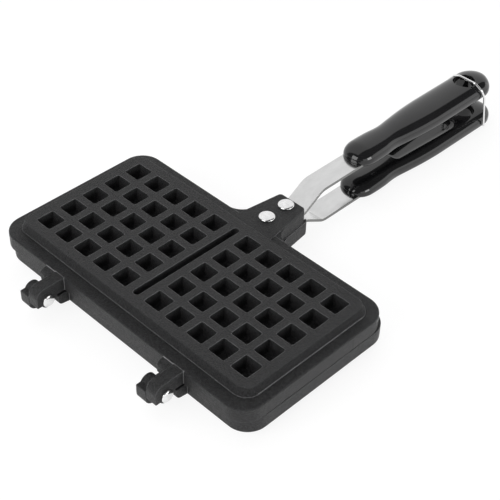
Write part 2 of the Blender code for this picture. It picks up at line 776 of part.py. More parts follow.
def main():
    clear_scene()
    cast = finish("black_coated_casting", (0.045, 0.045, 0.048), 0.5, 0.2)
    steel = finish("satin_steel", (0.72, 0.72, 0.71), 0.28, 1.0)
    polished = finish("polished_steel", (0.86, 0.86, 0.86), 0.12, 1.0)
    moulded = finish("black_gloss_moulding", (0.012, 0.012, 0.013), 0.12, 0.0)

    top_plate = add_object("top_plate", plate_casting(HINGE_REACH))
    bottom_plate = add_object("bottom_plate", plate_casting(HINGE_REACH + LOWER_SET))
    bottom_plate.location = (0.0, LOWER_SET, 0.0)
    bottom_plate.rotation_euler = (0.0, math.pi, 0.0)
    left_x, right_x = hinge_places()
    pins = [hinge_pin("hinge_pin_left", left_x), hinge_pin("hinge_pin_right", right_x)]

    top_strap = strap("top_strap", 1, 0, TOP_STRAP_LEVEL)
    bottom_strap = strap("bottom_strap", -1, LOWER_SET, BOTTOM_STRAP_LEVEL)
    inner, outer = rivet_places()
    top_rivets = [rivet("top_rivet_inner", 1, inner), rivet("top_rivet_outer", 1, outer)]
    bottom_rivets = [
        rivet("bottom_rivet_inner", -1, inner + LOWER_SET),
        rivet("bottom_rivet_outer", -1, outer + LOWER_SET),
    ]

    top_low = TOP_STRAP_LEVEL - TOP_GRIP_UNDER
    bottom_low = -BOTTOM_STRAP_LEVEL - BOTTOM_GRIP_UNDER
    top_grip = grip("top_grip", TOP_GRIP_WIDTH, TOP_GRIP_LENGTH, top_low, TOP_GRIP_THICKNESS,
                    TOP_STRAP_LEVEL, TOP_GRIP_FULLNESS)
    bottom_grip = grip("bottom_grip", BOTTOM_GRIP_WIDTH, BOTTOM_GRIP_LENGTH, bottom_low, BOTTOM_GRIP_THICKNESS,
                       -BOTTOM_STRAP_LEVEL, BOTTOM_GRIP_FULLNESS)
    combine(bottom_grip, recess(bottom_low + BOTTOM_GRIP_THICKNESS), "DIFFERENCE")

    bar_y = GRIP_START + TOP_GRIP_LENGTH - HANG_HOLE_MARGIN + WIRE_RADIUS
    bar_z = top_low + TOP_GRIP_THICKNESS + SEAT_GAP + WIRE_RADIUS
    leg_x = BOTTOM_GRIP_WIDTH / 2 + CLIP_CLEARANCE + WIRE_RADIUS
    pivot = (0.0, bar_y + CLIP_BAR_LEAN, bottom_low + CLIP_PIVOT_LIFT)
    knee_y = bar_y + CLIP_SHOULDER_SET * CLIP_KNEE_DROP / CLIP_SHOULDER_DROP
    route = [
        ((leg_x, pivot[1], pivot[2]), 0),
        ((leg_x, bar_y + CLIP_SHOULDER_SET, bar_z - CLIP_SHOULDER_DROP), WIRE_BEND),
        ((leg_x - CLIP_KNEE_INSET, knee_y, bar_z - CLIP_KNEE_DROP), WIRE_BEND),
        ((CLIP_BAR_HALF, bar_y, bar_z), WIRE_BEND),
    ]
    route += [((-x, y, z), bend) for (x, y, z), bend in reversed(route)]
    clip = tube("handle_clip", route, WIRE_RADIUS)

    for piece in (top_grip, bottom_grip):
        smooth(settle(piece))
    top_screw = screw("top_grip_screw", top_low, 0)
    bottom_screw = screw("bottom_grip_screw", bottom_low, 0)
    for piece in (top_screw, bottom_screw, clip):
        smooth(piece.data)

    for pieces, material in (
        ([top_plate, bottom_plate], cast),
        ([top_strap, bottom_strap], steel),
        (top_rivets + bottom_rivets + pins + [top_screw, bottom_screw, clip], polished),
        ([top_grip, bottom_grip], moulded),
    ):
        for piece in pieces:
            piece.data.materials.clear()
            piece.data.materials.append(material)

    front = AXIS_Y - NOSE_REACH
    rear = GRIP_START + BOTTOM_GRIP_LENGTH
    origin = bpy.data.objects.new("waffle_iron", None)
    origin.location = (0.0, -(front + rear) / 2, PLATE_DEPTH)
    lid = bpy.data.objects.new("lid_axis", None)
    lid.location = (0.0, AXIS_Y, 0.0)
    lid.parent = origin
    swing = bpy.data.objects.new("clip_axis", None)
    swing.location = (0.0, pivot[1] - AXIS_Y, pivot[2])
    swing.parent = lid
    for empty in (origin, lid, swing):
        bpy.context.scene.collection.objects.link(empty)
    carried = {
        origin: [bottom_plate, bottom_strap, bottom_grip, bottom_screw] + bottom_rivets + pins,
        lid: [top_plate, top_strap, top_grip, top_screw] + top_rivets,
        swing: [clip],
    }
    offsets = {origin: Vector(), lid: Vector((0.0, AXIS_Y, 0.0)), swing: Vector(pivot)}
    for carrier, pieces in carried.items():
        for piece in pieces:
            piece.parent = carrier
            piece.matrix_parent_inverse = Matrix.Translation(-offsets[carrier])


main()
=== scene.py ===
# %% [markdown]
# # A stovetop waffle iron, dressed for its picture
# The real thing is two cast aluminium plates under a dark non-stick coat, hinged along one long side, with
# riveted steel straps that carry two glossy moulded grips, and a wire clip that holds the grips together.
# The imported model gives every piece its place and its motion. This script makes each piece once more with
# finer edges, lays it exactly where the model has it, and gives it its finish.

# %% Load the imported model
import json
import math

import bmesh
import bpy
from mathutils import Matrix, Vector
from mathutils.bvhtree import BVHTree


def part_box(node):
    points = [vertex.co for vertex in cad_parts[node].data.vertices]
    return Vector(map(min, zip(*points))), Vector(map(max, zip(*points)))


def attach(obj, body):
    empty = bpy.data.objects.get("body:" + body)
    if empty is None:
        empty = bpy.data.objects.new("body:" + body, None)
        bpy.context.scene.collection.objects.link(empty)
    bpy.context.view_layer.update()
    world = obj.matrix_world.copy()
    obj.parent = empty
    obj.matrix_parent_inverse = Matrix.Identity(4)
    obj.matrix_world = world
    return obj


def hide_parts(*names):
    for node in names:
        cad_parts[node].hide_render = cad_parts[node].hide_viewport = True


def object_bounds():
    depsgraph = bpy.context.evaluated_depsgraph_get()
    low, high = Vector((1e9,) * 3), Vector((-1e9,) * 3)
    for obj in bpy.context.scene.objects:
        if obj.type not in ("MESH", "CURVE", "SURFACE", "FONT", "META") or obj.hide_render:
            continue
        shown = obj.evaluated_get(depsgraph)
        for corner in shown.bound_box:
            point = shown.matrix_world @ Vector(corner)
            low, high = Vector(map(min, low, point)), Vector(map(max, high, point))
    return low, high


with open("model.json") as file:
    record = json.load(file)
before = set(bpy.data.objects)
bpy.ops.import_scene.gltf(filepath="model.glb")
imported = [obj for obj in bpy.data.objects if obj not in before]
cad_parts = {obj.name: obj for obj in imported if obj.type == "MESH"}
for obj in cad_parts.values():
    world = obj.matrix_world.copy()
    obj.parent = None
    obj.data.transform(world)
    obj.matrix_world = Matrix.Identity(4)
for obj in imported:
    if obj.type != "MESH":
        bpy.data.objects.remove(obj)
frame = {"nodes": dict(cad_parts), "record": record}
cad_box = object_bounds()
nodes = frame["nodes"]

# %% [markdown]
# ## The camera
# The picture was taken from the hinge side, about 41 degrees above the table, with a long lens, so the rows of
# pockets run together only a little. The three directions below are the picture's right, down and forward.

# %% Place the camera
LENS = 86.6
SENSOR = 36.0
CAMERA_PLACE = Vector((0.40356, -0.47236, 0.51437))
VIEW_RIGHT = Vector((0.705959, 0.707959, 0.020384))
VIEW_DOWN = Vector((0.476154, -0.453110, -0.753637))
VIEW_FORWARD = Vector((-0.524308, 0.541743, -0.656975))


def place_camera():
    lens = bpy.data.cameras.new("picture_camera")
    lens.lens = LENS
    lens.sensor_width = SENSOR
    camera = bpy.data.objects.new("picture_camera", lens)
    turn = Matrix((VIEW_RIGHT, -VIEW_DOWN, -VIEW_FORWARD)).transposed()
    camera.matrix_world = Matrix.Translation(CAMERA_PLACE) @ turn.to_4x4()
    bpy.context.scene.collection.objects.link(camera)
    bpy.context.scene.camera = camera
    return camera


camera = place_camera()
print("camera at", [round(c, 3) for c in camera.location])

# %% [markdown]
# ## The room
# A white studio table runs into a white background. Round the table stands what the gloss of the grips shows:
# a wide white screen on the left, from the table to well overhead, a dark gap on the right above a white wall,
# and a dim front. Two small square lamps stand in front and on the right. The camera itself sees plain white
# in every direction. Each step in the room's light is an axis with the two places that it blends between.

# %% Floor, sky and lamps
SCREEN_LIGHT = 1.05
WALL_LIGHT = 1.55
FRONT_LIGHT = 0.55
GAP_LIGHT = 0.13
WALL_TOP = ("Z", 0.34, 0.42)
SCREEN_SIDE = ("X", 0.08, 0.14)
FRONT_TOP = ("Z", 0.02, 0.25)
FRONT_SIDE = ("Y", -0.56, -0.44)
FLOOR_HALF = 6.0
FLOOR_DROP = 0.0002
TABLE_WHITE = 0.92
TABLE_ROUGHNESS = 0.9
TABLE_GLOW = {"Is Camera Ray": (0.80, 1.09), "Is Glossy Ray": (0.60, 1.35)}
WHITE = (1.0, 1.0, 1.0, 1.0)
LAMP_AIM = Vector((0.0, 0.0, 0.02))


def add_node(tree, kind, inputs, operation=None, data_type=None, group=None):
    """A shader node with its inputs set to values or joined to other nodes' outputs."""
    node = tree.nodes.new("ShaderNode" + kind)
    if operation:
        node.operation = operation
    if data_type:
        node.data_type = data_type
    if group:
        node.node_tree = group
    for key, value in inputs.items():
        if isinstance(value, bpy.types.NodeSocket):
            tree.links.new(value, node.inputs[key])
        else:
            node.inputs[key].default_value = value
    return node


def studio_floor():
    mesh = bpy.data.meshes.new("floor")
    build = bmesh.new()
    bmesh.ops.create_grid(build, x_segments=1, y_segments=1, size=FLOOR_HALF)
    build.to_mesh(mesh)
    build.free()
    floor = bpy.data.objects.new("floor", mesh)
    floor.location.z = cad_box[0][2] - FLOOR_DROP
    bpy.context.scene.collection.objects.link(floor)
    paper = bpy.data.materials.new("white_table")
    paper.use_nodes = True
    tree = paper.node_tree
    surface = tree.nodes["Principled BSDF"]
    surface.inputs["Base Color"].default_value = (TABLE_WHITE, TABLE_WHITE, TABLE_WHITE, 1.0)
    surface.inputs["Roughness"].default_value = TABLE_ROUGHNESS
    surface.inputs["Specular IOR Level"].default_value = 0.0
    path = add_node(tree, "LightPath", {})
    layer = surface.outputs[0]
    for ray, (share, strength) in TABLE_GLOW.items():
        glow = add_node(tree, "Emission", {"Strength": strength})
        part = add_node(tree, "Math", {0: path.outputs[ray], 1: share}, "MULTIPLY")
        mix = add_node(tree, "MixShader", {"Fac": part.outputs[0], 1: layer, 2: glow.outputs[0]})
        layer = mix.outputs[0]
    tree.links.new(layer, tree.nodes["Material Output"].inputs["Surface"])
    mesh.materials.append(paper)


def studio_sky():
    world = bpy.data.worlds.new("studio")
    bpy.context.scene.world = world
    world.use_nodes = True
    tree = world.node_tree
    tree.nodes.clear()
    where = add_node(tree, "TexCoord", {})
    axes = add_node(tree, "SeparateXYZ", {0: where.outputs["Generated"]})

    def blend(step, below, above):
        axis, start, stop = step
        ramp = add_node(tree, "MapRange", {"Value": axes.outputs[axis], "From Min": start, "From Max": stop})
        ramp.interpolation_type = "SMOOTHSTEP"
        return add_node(tree, "Mix", {0: ramp.outputs["Result"], 2: below, 3: above}, data_type="FLOAT").outputs[0]

    right = blend(WALL_TOP, WALL_LIGHT, GAP_LIGHT)
    behind = blend(SCREEN_SIDE, SCREEN_LIGHT, right)
    front = blend(FRONT_TOP, FRONT_LIGHT, GAP_LIGHT)
    level = blend(FRONT_SIDE, front, behind)
    path = add_node(tree, "LightPath", {})
    seen = add_node(tree, "Math", {0: path.outputs["Is Camera Ray"], 1: path.outputs["Is Transmission Ray"]},
                    "MAXIMUM")
    room = add_node(tree, "Background", {"Color": WHITE, "Strength": level})
    plain = add_node(tree, "Background", {"Color": WHITE})
    mix = add_node(tree, "MixShader", {"Fac": seen.outputs[0], 1: room.outputs[0], 2: plain.outputs[0]})
    add_node(tree, "OutputWorld", {"Surface": mix.outputs[0]})


def soft_box(name, place, width, height, power):
    lamp = bpy.data.lights.new(name, "AREA")
    lamp.shape = "RECTANGLE"
    lamp.size = width
    lamp.size_y = height
    lamp.energy = power
    box = bpy.data.objects.new(name, lamp)
    look = (LAMP_AIM - Vector(place)).normalized()
    box.matrix_world = Matrix.Translation(place) @ look.to_track_quat("-Z", "Y").to_matrix().to_4x4()
    bpy.context.scene.collection.objects.link(box)


bpy.context.scene.view_settings.view_transform = "Standard"
studio_floor()
studio_sky()
soft_box("front_box", (-0.02, -1.08, 0.52), 0.80, 0.75, 7.4)
soft_box("right_box", (1.13, 0.20, 0.30), 0.45, 0.42, 3.4)

# %% [markdown]
# ## Working shapes
# Nearly every piece is a stack of outlines skinned one to the next, as a pattern maker builds a casting pattern
# in layers. An outline is drawn once with square corners, and each corner that has a radius becomes an arc. The
# stacks use many small steps, so that fillets catch the light as a soft line. A fillet is a list of pairs: one
# number grows from nothing to the radius while the other falls from it, and both drive the next outline.

# %% Outlines and stacks
CAD_SHIFT = Vector((0.0, -0.1091, 0.0164))
CORNER_STEPS = 10
FILLET_STEPS = 5
OVERRUN = 0.0010


def rounded(corners, steps=CORNER_STEPS):
    """An outline through (x, y, radius) corners, each turned into an arc of that many steps."""
    outline = []
    for index, (x, y, radius) in enumerate(corners):
        here = Vector((x, y))
        if radius <= 0:
            outline.append((x, y))
            continue
        behind = (Vector(corners[index - 1][:2]) - here).normalized()
        ahead = (Vector(corners[(index + 1) % len(corners)][:2]) - here).normalized()
        half = behind.angle(ahead) / 2
        centre = here + (behind + ahead).normalized() * (radius / math.sin(half))
        arm = here + behind * (radius / math.tan(half)) - centre
        turn = math.pi - 2 * half
        if behind.x * ahead.y - behind.y * ahead.x > 0:
            turn = -turn
        for step in range(steps + 1):
            angle = turn * step / steps
            outline.append((
                centre.x + arm.x * math.cos(angle) - arm.y * math.sin(angle),
                centre.y + arm.x * math.sin(angle) + arm.y * math.cos(angle),
            ))
    return outline


def rounded_box(half_x, half_y, radius, steps=CORNER_STEPS, centre=(0.0, 0.0)):
    cx, cy = centre
    corners = [(cx - half_x, cy - half_y), (cx + half_x, cy - half_y),
               (cx + half_x, cy + half_y), (cx - half_x, cy + half_y)]
    return rounded([(x, y, radius) for x, y in corners], steps)


def at_height(outline, z):
    return [(x, y, z) for x, y in outline]


def quarter(steps=FILLET_STEPS):
    return [math.pi / 2 * step / steps for step in range(steps + 1)]


def fillet(radius, steps=FILLET_STEPS):
    return [(radius * (1 - math.cos(angle)), radius * (1 - math.sin(angle))) for angle in quarter(steps)]


def stack_mesh(*stacks):
    """Closed skins, one for each stack of rings, with their normals turned outwards."""
    points = []
    faces = []
    for rings in stacks:
        base = len(points)
        count = len(rings[0])
        for ring in rings:
            points.extend(ring)
        for level in range(len(rings) - 1):
            low = base + level * count
            for i in range(count):
                j = (i + 1) % count
                faces.append((low + i, low + j, low + count + j, low + count + i))
        faces.append(tuple(base + i for i in reversed(range(count))))
        last = base + (len(rings) - 1) * count
        faces.append(tuple(last + i for i in range(count)))
    mesh = bpy.data.meshes.new("stack")
    mesh.from_pydata(points, [], faces)
    shape = bmesh.new()
    shape.from_mesh(mesh)
    bmesh.ops.recalc_face_normals(shape, faces=shape.faces)
    shape.to_mesh(mesh)
    shape.free()
    return mesh


def piece_of(name, mesh):
    piece = bpy.data.objects.new(name, mesh)
    bpy.context.scene.collection.objects.link(piece)
    return piece


print("a rounded box outline has", len(rounded_box(1, 1, 0.2)), "points")

# %% [markdown]
# ## Cutting and softening
# Pockets and holes are cut with solid tools, whose mouths flare out in a quarter round, so the cut leaves a
# rounded lip. After a cut, the large flat faces should stay flat in the light: each corner takes its normal
# from the largest face round it, which is what the weighted normals do.

# %% Cut, soften and join
SOFT_ANGLE = math.radians(38)
AREA_WEIGHT = 60


def cut_with(body, tool, operation="DIFFERENCE"):
    change = body.modifiers.new("cut", "BOOLEAN")
    change.operation = operation
    change.solver = "EXACT"
    change.object = tool
    graph = bpy.context.evaluated_depsgraph_get()
    mesh = bpy.data.meshes.new_from_object(body.evaluated_get(graph))
    body.modifiers.clear()
    body.data = mesh
    bpy.data.objects.remove(tool, do_unlink=True)
    return body


def soften(body, angle=SOFT_ANGLE):
    body.data.shade_smooth()
    body.data.set_sharp_from_angle(angle=angle)
    weigh = body.modifiers.new("weigh", "WEIGHTED_NORMAL")
    weigh.mode = "FACE_AREA"
    weigh.weight = AREA_WEIGHT
    weigh.keep_sharp = True
    return body


def join_pieces(name, pieces):
    whole = bmesh.new()
    for piece in pieces:
        piece.data.transform(piece.matrix_basis)
        whole.from_mesh(piece.data)
        bpy.data.objects.remove(piece, do_unlink=True)
    mesh = bpy.data.meshes.new(name)
    whole.to_mesh(mesh)
    whole.free()
    return piece_of(name, mesh)


# %% [markdown]
# ## The castings
# Each plate is a shallow tray with a raised back. Twenty-five square pockets per waffle are pressed into the
# back, and each one stands inside as a peg. A slot separates the two waffles. Both halves come from the same
# pattern; only the distance from the back wall to the hinge pins differs. First the outside of the tray, in
# layers: foot edge, wall, rim fillet, rim, ledge at the boss foot, boss wall and boss fillet.

# %% The tray's outside
PITCH = 0.018
ROWS = 5
COLUMNS = 5
SPLIT = 0.0113
PLATE_LENGTH = 0.2180
PLATE_WIDTH = 0.1200
PLATE_CORNER = 0.0145
PLATE_DEPTH = 0.0164
RIM_HEIGHT = 0.0104
RIM_FILLET = 0.0010
FOOT_EDGE = 0.0005
BOSS_BORDER = 0.0045
BOSS_CORNER = 0.0075
BOSS_FILLET = 0.0007
BOSS_FOOT = 0.00072
BOSS_LEAN = 0.0019
LEDGE_HEIGHT = 0.0011
LEDGE_EDGE = 0.0003
LEDGE_FOOT = 0.0003
FACE = 0.00015
GRID_HALF_X = SPLIT / 2 + COLUMNS * PITCH
GRID_HALF_Y = ROWS * PITCH / 2


def tray_outside():
    rim = (PLATE_LENGTH / 2, PLATE_WIDTH / 2, PLATE_CORNER)
    boss = (GRID_HALF_X + BOSS_BORDER, GRID_HALF_Y + BOSS_BORDER, BOSS_CORNER)
    foot = BOSS_LEAN + BOSS_FOOT
    levels = [(rim, -inset, FACE + rise) for rise, inset in fillet(FOOT_EDGE, 3)]
    levels += [(rim, -inset, RIM_HEIGHT - drop) for inset, drop in fillet(RIM_FILLET)]
    levels += [(boss, foot + spread, RIM_HEIGHT + rise) for rise, spread in fillet(LEDGE_FOOT, 2)]
    levels += [(boss, foot - inset, RIM_HEIGHT + LEDGE_HEIGHT - drop) for inset, drop in fillet(LEDGE_EDGE, 3)]
    levels += [(boss, BOSS_FILLET / 2 - inset, PLATE_DEPTH - drop) for inset, drop in fillet(BOSS_FILLET)]
    rings = [at_height(rounded_box(x + grow, y + grow, corner + grow, 12), z)
             for (x, y, corner), grow, z in levels]
    return piece_of("tray", stack_mesh(rings))


# %% [markdown]
# The pocket tools: a flat floor with a small fillet, walls that lean out towards the mouth, and a mouth that
# flares in a quarter round. The slot's tool is the same kind of shape, long and narrow.

# %% Pockets and slot
POCKET_MOUTH = 0.0126
POCKET_DEPTH = 0.0090
POCKET_LEAN = 0.0011
POCKET_CORNER = 0.0011
POCKET_FLOOR_FILLET = 0.0016
POCKET_LIP = 0.0003
SLOT_WIDTH = 0.0047
SLOT_LENGTH = 0.0850
SLOT_DEPTH = 0.0120
SLOT_LEAN = 0.0012
SLOT_CORNER = SLOT_WIDTH / 2 - 0.0002
SLOT_FLOOR_FILLET = 0.0004
LIP_TURNS = (0.0, 0.35, 0.7, 1.05, 1.35)


def column_places():
    right = [SPLIT / 2 + PITCH * (column + 0.5) for column in range(COLUMNS)]
    return [-x for x in reversed(right)] + right


def row_places():
    return [PITCH * (row - (ROWS - 1) / 2) for row in range(ROWS)]


def sunk_rings(half_x, half_y, corner, depth, lean, lip, floor_fillet, centre):
    """Rings of a tool that sinks a lipped hollow, from its floor up to beyond the mouth."""
    rings = []

    def ring(grow, z):
        round_corner = max(corner + grow, corner / 4)
        rings.append(at_height(rounded_box(half_x + grow, half_y + grow, round_corner, 4, centre), z))

    for rise, inset in fillet(floor_fillet, 3):
        ring(-lean - inset, PLATE_DEPTH - depth + rise)
    for angle in LIP_TURNS:
        ring(lip * (1 - math.cos(angle)), PLATE_DEPTH - lip + lip * math.sin(angle))
    ring(lip + OVERRUN, PLATE_DEPTH + lip)
    return rings


def back_tools():
    half = POCKET_MOUTH / 2
    stacks = [sunk_rings(half, half, POCKET_CORNER, POCKET_DEPTH, POCKET_LEAN, POCKET_LIP, POCKET_FLOOR_FILLET, (x, y))
              for x in column_places() for y in row_places()]
    stacks.append(sunk_rings(SLOT_WIDTH / 2, SLOT_LENGTH / 2, SLOT_CORNER, SLOT_DEPTH, SLOT_LEAN,
                             POCKET_LIP, SLOT_FLOOR_FILLET, (0.0, 0.0)))
    return stacks


print("pockets per plate:", len(column_places()) * len(row_places()))

# %% [markdown]
# The inside of the tray holds the batter: two square chambers with rounded corners, and a peg under each
# pocket. The tool for it is the chambers' solid with the pegs taken out.

# %% Chambers and pegs
ROOF = 0.0022
PEG_WALL = 0.0018
PEG_CORNER = 0.0020
PEG_FILLET = 0.0007
CHAMBER_BORDER = 0.0018
CHAMBER_LEAN = 0.0014
CHAMBER_CORNER = 0.0060


def chamber_tool():
    roof = PLATE_DEPTH - ROOF
    centre = SPLIT / 2 + COLUMNS * PITCH / 2
    stacks = []
    for side in (-1, 1):
        rings = []
        for share, z in ((1, -OVERRUN), (1, FACE), (0, roof)):
            grow = CHAMBER_BORDER + CHAMBER_LEAN * share
            half = ROWS * PITCH / 2 + grow
            rings.append(at_height(rounded_box(half, half, CHAMBER_CORNER, 8, (side * centre, 0.0)), z))
        stacks.append(rings)
    waffle = piece_of("waffle", stack_mesh(*stacks))
    tip = PLATE_DEPTH - POCKET_DEPTH - ROOF
    pegs = []
    for x in column_places():
        for y in row_places():
            rings = []
            for rise, inset in fillet(PEG_FILLET, 3):
                z = tip + rise
                half = POCKET_MOUTH / 2 - POCKET_LEAN * (PLATE_DEPTH - z) / POCKET_DEPTH + PEG_WALL
                half -= inset
                rings.append(at_height(rounded_box(half, half, PEG_CORNER, 3, (x, y)), z))
            half = POCKET_MOUTH / 2 + PEG_WALL
            rings.append(at_height(rounded_box(half, half, PEG_CORNER, 3, (x, y)), roof + OVERRUN))
            pegs.append(rings)
    return cut_with(waffle, piece_of("pegs", stack_mesh(*pegs)))


def tray():
    body = tray_outside()
    inside = chamber_tool()
    outside = piece_of("back_tools", stack_mesh(*back_tools()))
    return cut_with(body, join_pieces("tools", [inside, outside]))


# %% [markdown]
# The tang is a web that grows out of the long wall, with a raised pad under the rivet heads and a channel
# underneath for the strap.

# %% The tang
TANG_END = 0.0927
TANG_HEIGHT = 0.0112
TANG_ROOT = 0.0157
TANG_TIP = 0.0112
TANG_CORNER = 0.0027
TANG_BLEND = 0.0128
TANG_EDGE = 0.0006
TANG_FOOT_EDGE = 0.00015
LAP = 0.0001
STRAP_WIDTH = 0.0171
STRAP_THICKNESS = 0.0021
STRAP_SEAT = 0.0020
STRAP_MARGIN = 0.0062
RIVET_INNER = 0.0684
RIVET_SPACING = 0.0175
SEAT_GAP = 0.0003


def tang_outline(inset):
    wall = PLATE_WIDTH / 2 - LAP - inset
    end = TANG_END - inset
    back = PLATE_WIDTH / 2 - RIM_HEIGHT
    far = TANG_ROOT + TANG_BLEND
    root, tip, blend, corner = TANG_ROOT - inset, TANG_TIP - inset, TANG_BLEND + inset, TANG_CORNER - inset
    return rounded([(-far, back, 0), (far, back, 0), (far, wall, 0), (root, wall, blend), (tip, end, corner),
                    (-tip, end, corner), (-root, wall, blend), (-far, wall, 0)])


def pad_outline(inset):
    back = GRID_HALF_Y + BOSS_BORDER - BOSS_FILLET
    slope = (TANG_ROOT - TANG_TIP) / (TANG_END - PLATE_WIDTH / 2)
    end, tip, corner = TANG_END - inset, TANG_TIP - inset, TANG_CORNER - inset
    root = tip + slope * (end - back)
    return rounded([(-root, back, 0), (root, back, 0), (tip, end, corner), (-tip, end, corner)])


def tang():
    levels = [(inset, FACE + rise) for rise, inset in fillet(TANG_FOOT_EDGE, 2)]
    levels += [(inset, RIM_HEIGHT - LAP - drop) for inset, drop in fillet(RIM_FILLET)]
    web = piece_of("web", stack_mesh([at_height(tang_outline(inset), z) for inset, z in levels]))
    levels = [(LAP, RIM_HEIGHT / 2)]
    levels += [(LAP + inset, TANG_HEIGHT - drop) for inset, drop in fillet(TANG_EDGE, 4)]
    pad = piece_of("pad", stack_mesh([at_height(pad_outline(inset), z) for inset, z in levels]))
    cut_with(web, pad, "UNION")
    half = STRAP_WIDTH / 2 + SEAT_GAP
    low = RIVET_INNER - STRAP_MARGIN - SEAT_GAP
    channel = [(-half, low), (half, low), (half, TANG_END + OVERRUN), (-half, TANG_END + OVERRUN)]
    top = STRAP_SEAT + STRAP_THICKNESS + SEAT_GAP
    return cut_with(web, piece_of("channel", stack_mesh([at_height(channel, -OVERRUN), at_height(channel, top)])))


# %% [markdown]
# A hinge is a knuckle on one half beside a knuckle on the other, with a headed pin through both, and a root lug
# that stops the lid. Each is an outline seen from the side, run along the hinge, with softened side edges.

# %% Knuckles and lugs
HINGE_REACH = 0.0124
LOWER_SET = 0.0028
HINGE_SPACING = 0.1058
KNUCKLE_WIDTH = 0.0084
KNUCKLE_RADIUS = 0.0052
KNUCKLE_GAP = 0.0003
NOSE_REACH = 0.0082
NOSE_ROUND = 0.0062
NOSE_DROP = 0.0023
NOSE_EDGE = 0.0006
WEB_LIFT = 0.0005
LUG_FRONT = 0.0074
LUG_TOP = 0.0088
LUG_CREST = 0.0020
ROOT_DEPTH = 0.0050
SIDE_STEP = 0.00008
LUG_FOOT = 0.0014
LUG_ROUND = 0.0030
LUG_SWEEP = 0.0100
KNUCKLE_STEPS = 16
KNUCKLE_EDGE = 0.00045
AXIS_Y = -(PLATE_WIDTH / 2 + HINGE_REACH)


def knuckle_outline(axis, wall):
    outline = rounded([(wall, RIM_HEIGHT - LAP, 0), (axis - NOSE_REACH, RIM_HEIGHT - LAP, NOSE_ROUND),
                       (axis - NOSE_REACH, -NOSE_DROP, NOSE_EDGE), (axis, -NOSE_DROP, 0)], 8)[:-1]
    start = math.pi + math.asin(NOSE_DROP / KNUCKLE_RADIUS)
    stop = math.tau + math.asin(WEB_LIFT / KNUCKLE_RADIUS)
    for step in range(KNUCKLE_STEPS + 1):
        angle = start + (stop - start) * step / KNUCKLE_STEPS
        outline.append((axis + KNUCKLE_RADIUS * math.cos(angle), KNUCKLE_RADIUS * math.sin(angle)))
    outline.append((wall, WEB_LIFT))
    return outline


def lug_outline(axis, wall):
    front = axis + LUG_FRONT
    return rounded([(wall, RIM_HEIGHT - LAP, 0), (LUG_CREST - PLATE_WIDTH / 2, RIM_HEIGHT - LAP, LUG_SWEEP),
                    (front, LUG_TOP, LUG_ROUND), (front, LUG_FOOT, NOSE_EDGE), (wall, LUG_FOOT, 0)], 8)


def shrunk(outline, inset):
    """The outline drawn in by inset, square to its own run at every point."""
    area = sum(x0 * y1 - x1 * y0 for (x0, y0), (x1, y1) in zip(outline, outline[1:] + outline[:1]))
    turn = 1 if area > 0 else -1
    result = []
    for index, (x, y) in enumerate(outline):
        before = Vector(outline[index - 1])
        after = Vector(outline[(index + 1) % len(outline)])
        run = (after - before).normalized()
        result.append((x - run.y * turn * inset, y + run.x * turn * inset))
    return result


def run_across(outline, low_x, high_x, edge=KNUCKLE_EDGE):
    """A solid with this outline from low_x to high_x, whose two end edges are rounded."""
    sections = [(low_x + along, inset) for along, inset in fillet(edge, 3)]
    sections += [(high_x - along, inset) for along, inset in reversed(fillet(edge, 3))]
    rings = [[(x, y, z) for y, z in shrunk(outline, inset)] for x, inset in sections]
    return piece_of("across", stack_mesh(rings))


def casting(name, reach):
    axis = -PLATE_WIDTH / 2 - reach
    wall = ROOT_DEPTH - PLATE_WIDTH / 2
    parts = [tray(), tang()]
    for x in (-HINGE_SPACING / 2, HINGE_SPACING / 2):
        parts.append(run_across(lug_outline(axis, wall), x - KNUCKLE_WIDTH, x + KNUCKLE_WIDTH - SIDE_STEP))
        parts.append(run_across(knuckle_outline(axis, wall), x + KNUCKLE_GAP / 2, x + KNUCKLE_WIDTH))
    return soften(join_pieces(name, parts))


upper_casting = casting("upper_casting", HINGE_REACH)
lower_casting = casting("lower_casting", HINGE_REACH + LOWER_SET)
lower_casting.data.transform(Matrix.Translation((0, LOWER_SET, 0)) @ Matrix.Rotation(math.pi, 4, "Y"))
print("casting corners:", len(upper_casting.data.vertices), len(lower_casting.data.vertices))

# %% [markdown]
# ## Straps, rivets and pins
# The straps are flat steel strip: seated in the tang, bent away from the parting line and then level inside
# the grip. Their edges are tumbled round. Rivets and pins are turned pieces, so one profile spun round makes
# each of them.

# %% The straps
GRIP_START = 0.1467
STRAP_BEND = 0.0130
STRAP_RUN_IN = 0.0016
STRAP_RAMP = 0.0175
TOP_STRAP_LEVEL = 0.0138
BOTTOM_STRAP_LEVEL = 0.0128
STRAP_TAIL = GRIP_START + 0.0700
STRAP_EDGE = 0.0004


def band(path, thickness, steps=8):
    """The outline of a strip of this thickness along a path of (y, z, bend radius) points."""
    sides = []
    for side in (1, -1):
        line = []
        for index, (y, z, bend) in enumerate(path):
            here = Vector((y, z))
            before = Vector(path[max(index - 1, 0)][:2])
            after = Vector(path[min(index + 1, len(path) - 1)][:2])
            coming = (here - before if index else after - here).normalized()
            going = (after - here if index < len(path) - 1 else here - before).normalized()
            middle = (coming + going).normalized()
            normal = Vector((-middle.y, middle.x))
            reach = thickness / 2 / middle.dot(going)
            turning = coming.x * going.y - coming.y * going.x
            swing = -side * math.copysign(thickness / 2, turning) if bend else 0
            spot = here + normal * side * reach
            line.append((spot.x, spot.y, bend + swing if bend else 0))
        sides.append(line)
    return rounded(sides[1] + sides[0][::-1], steps)


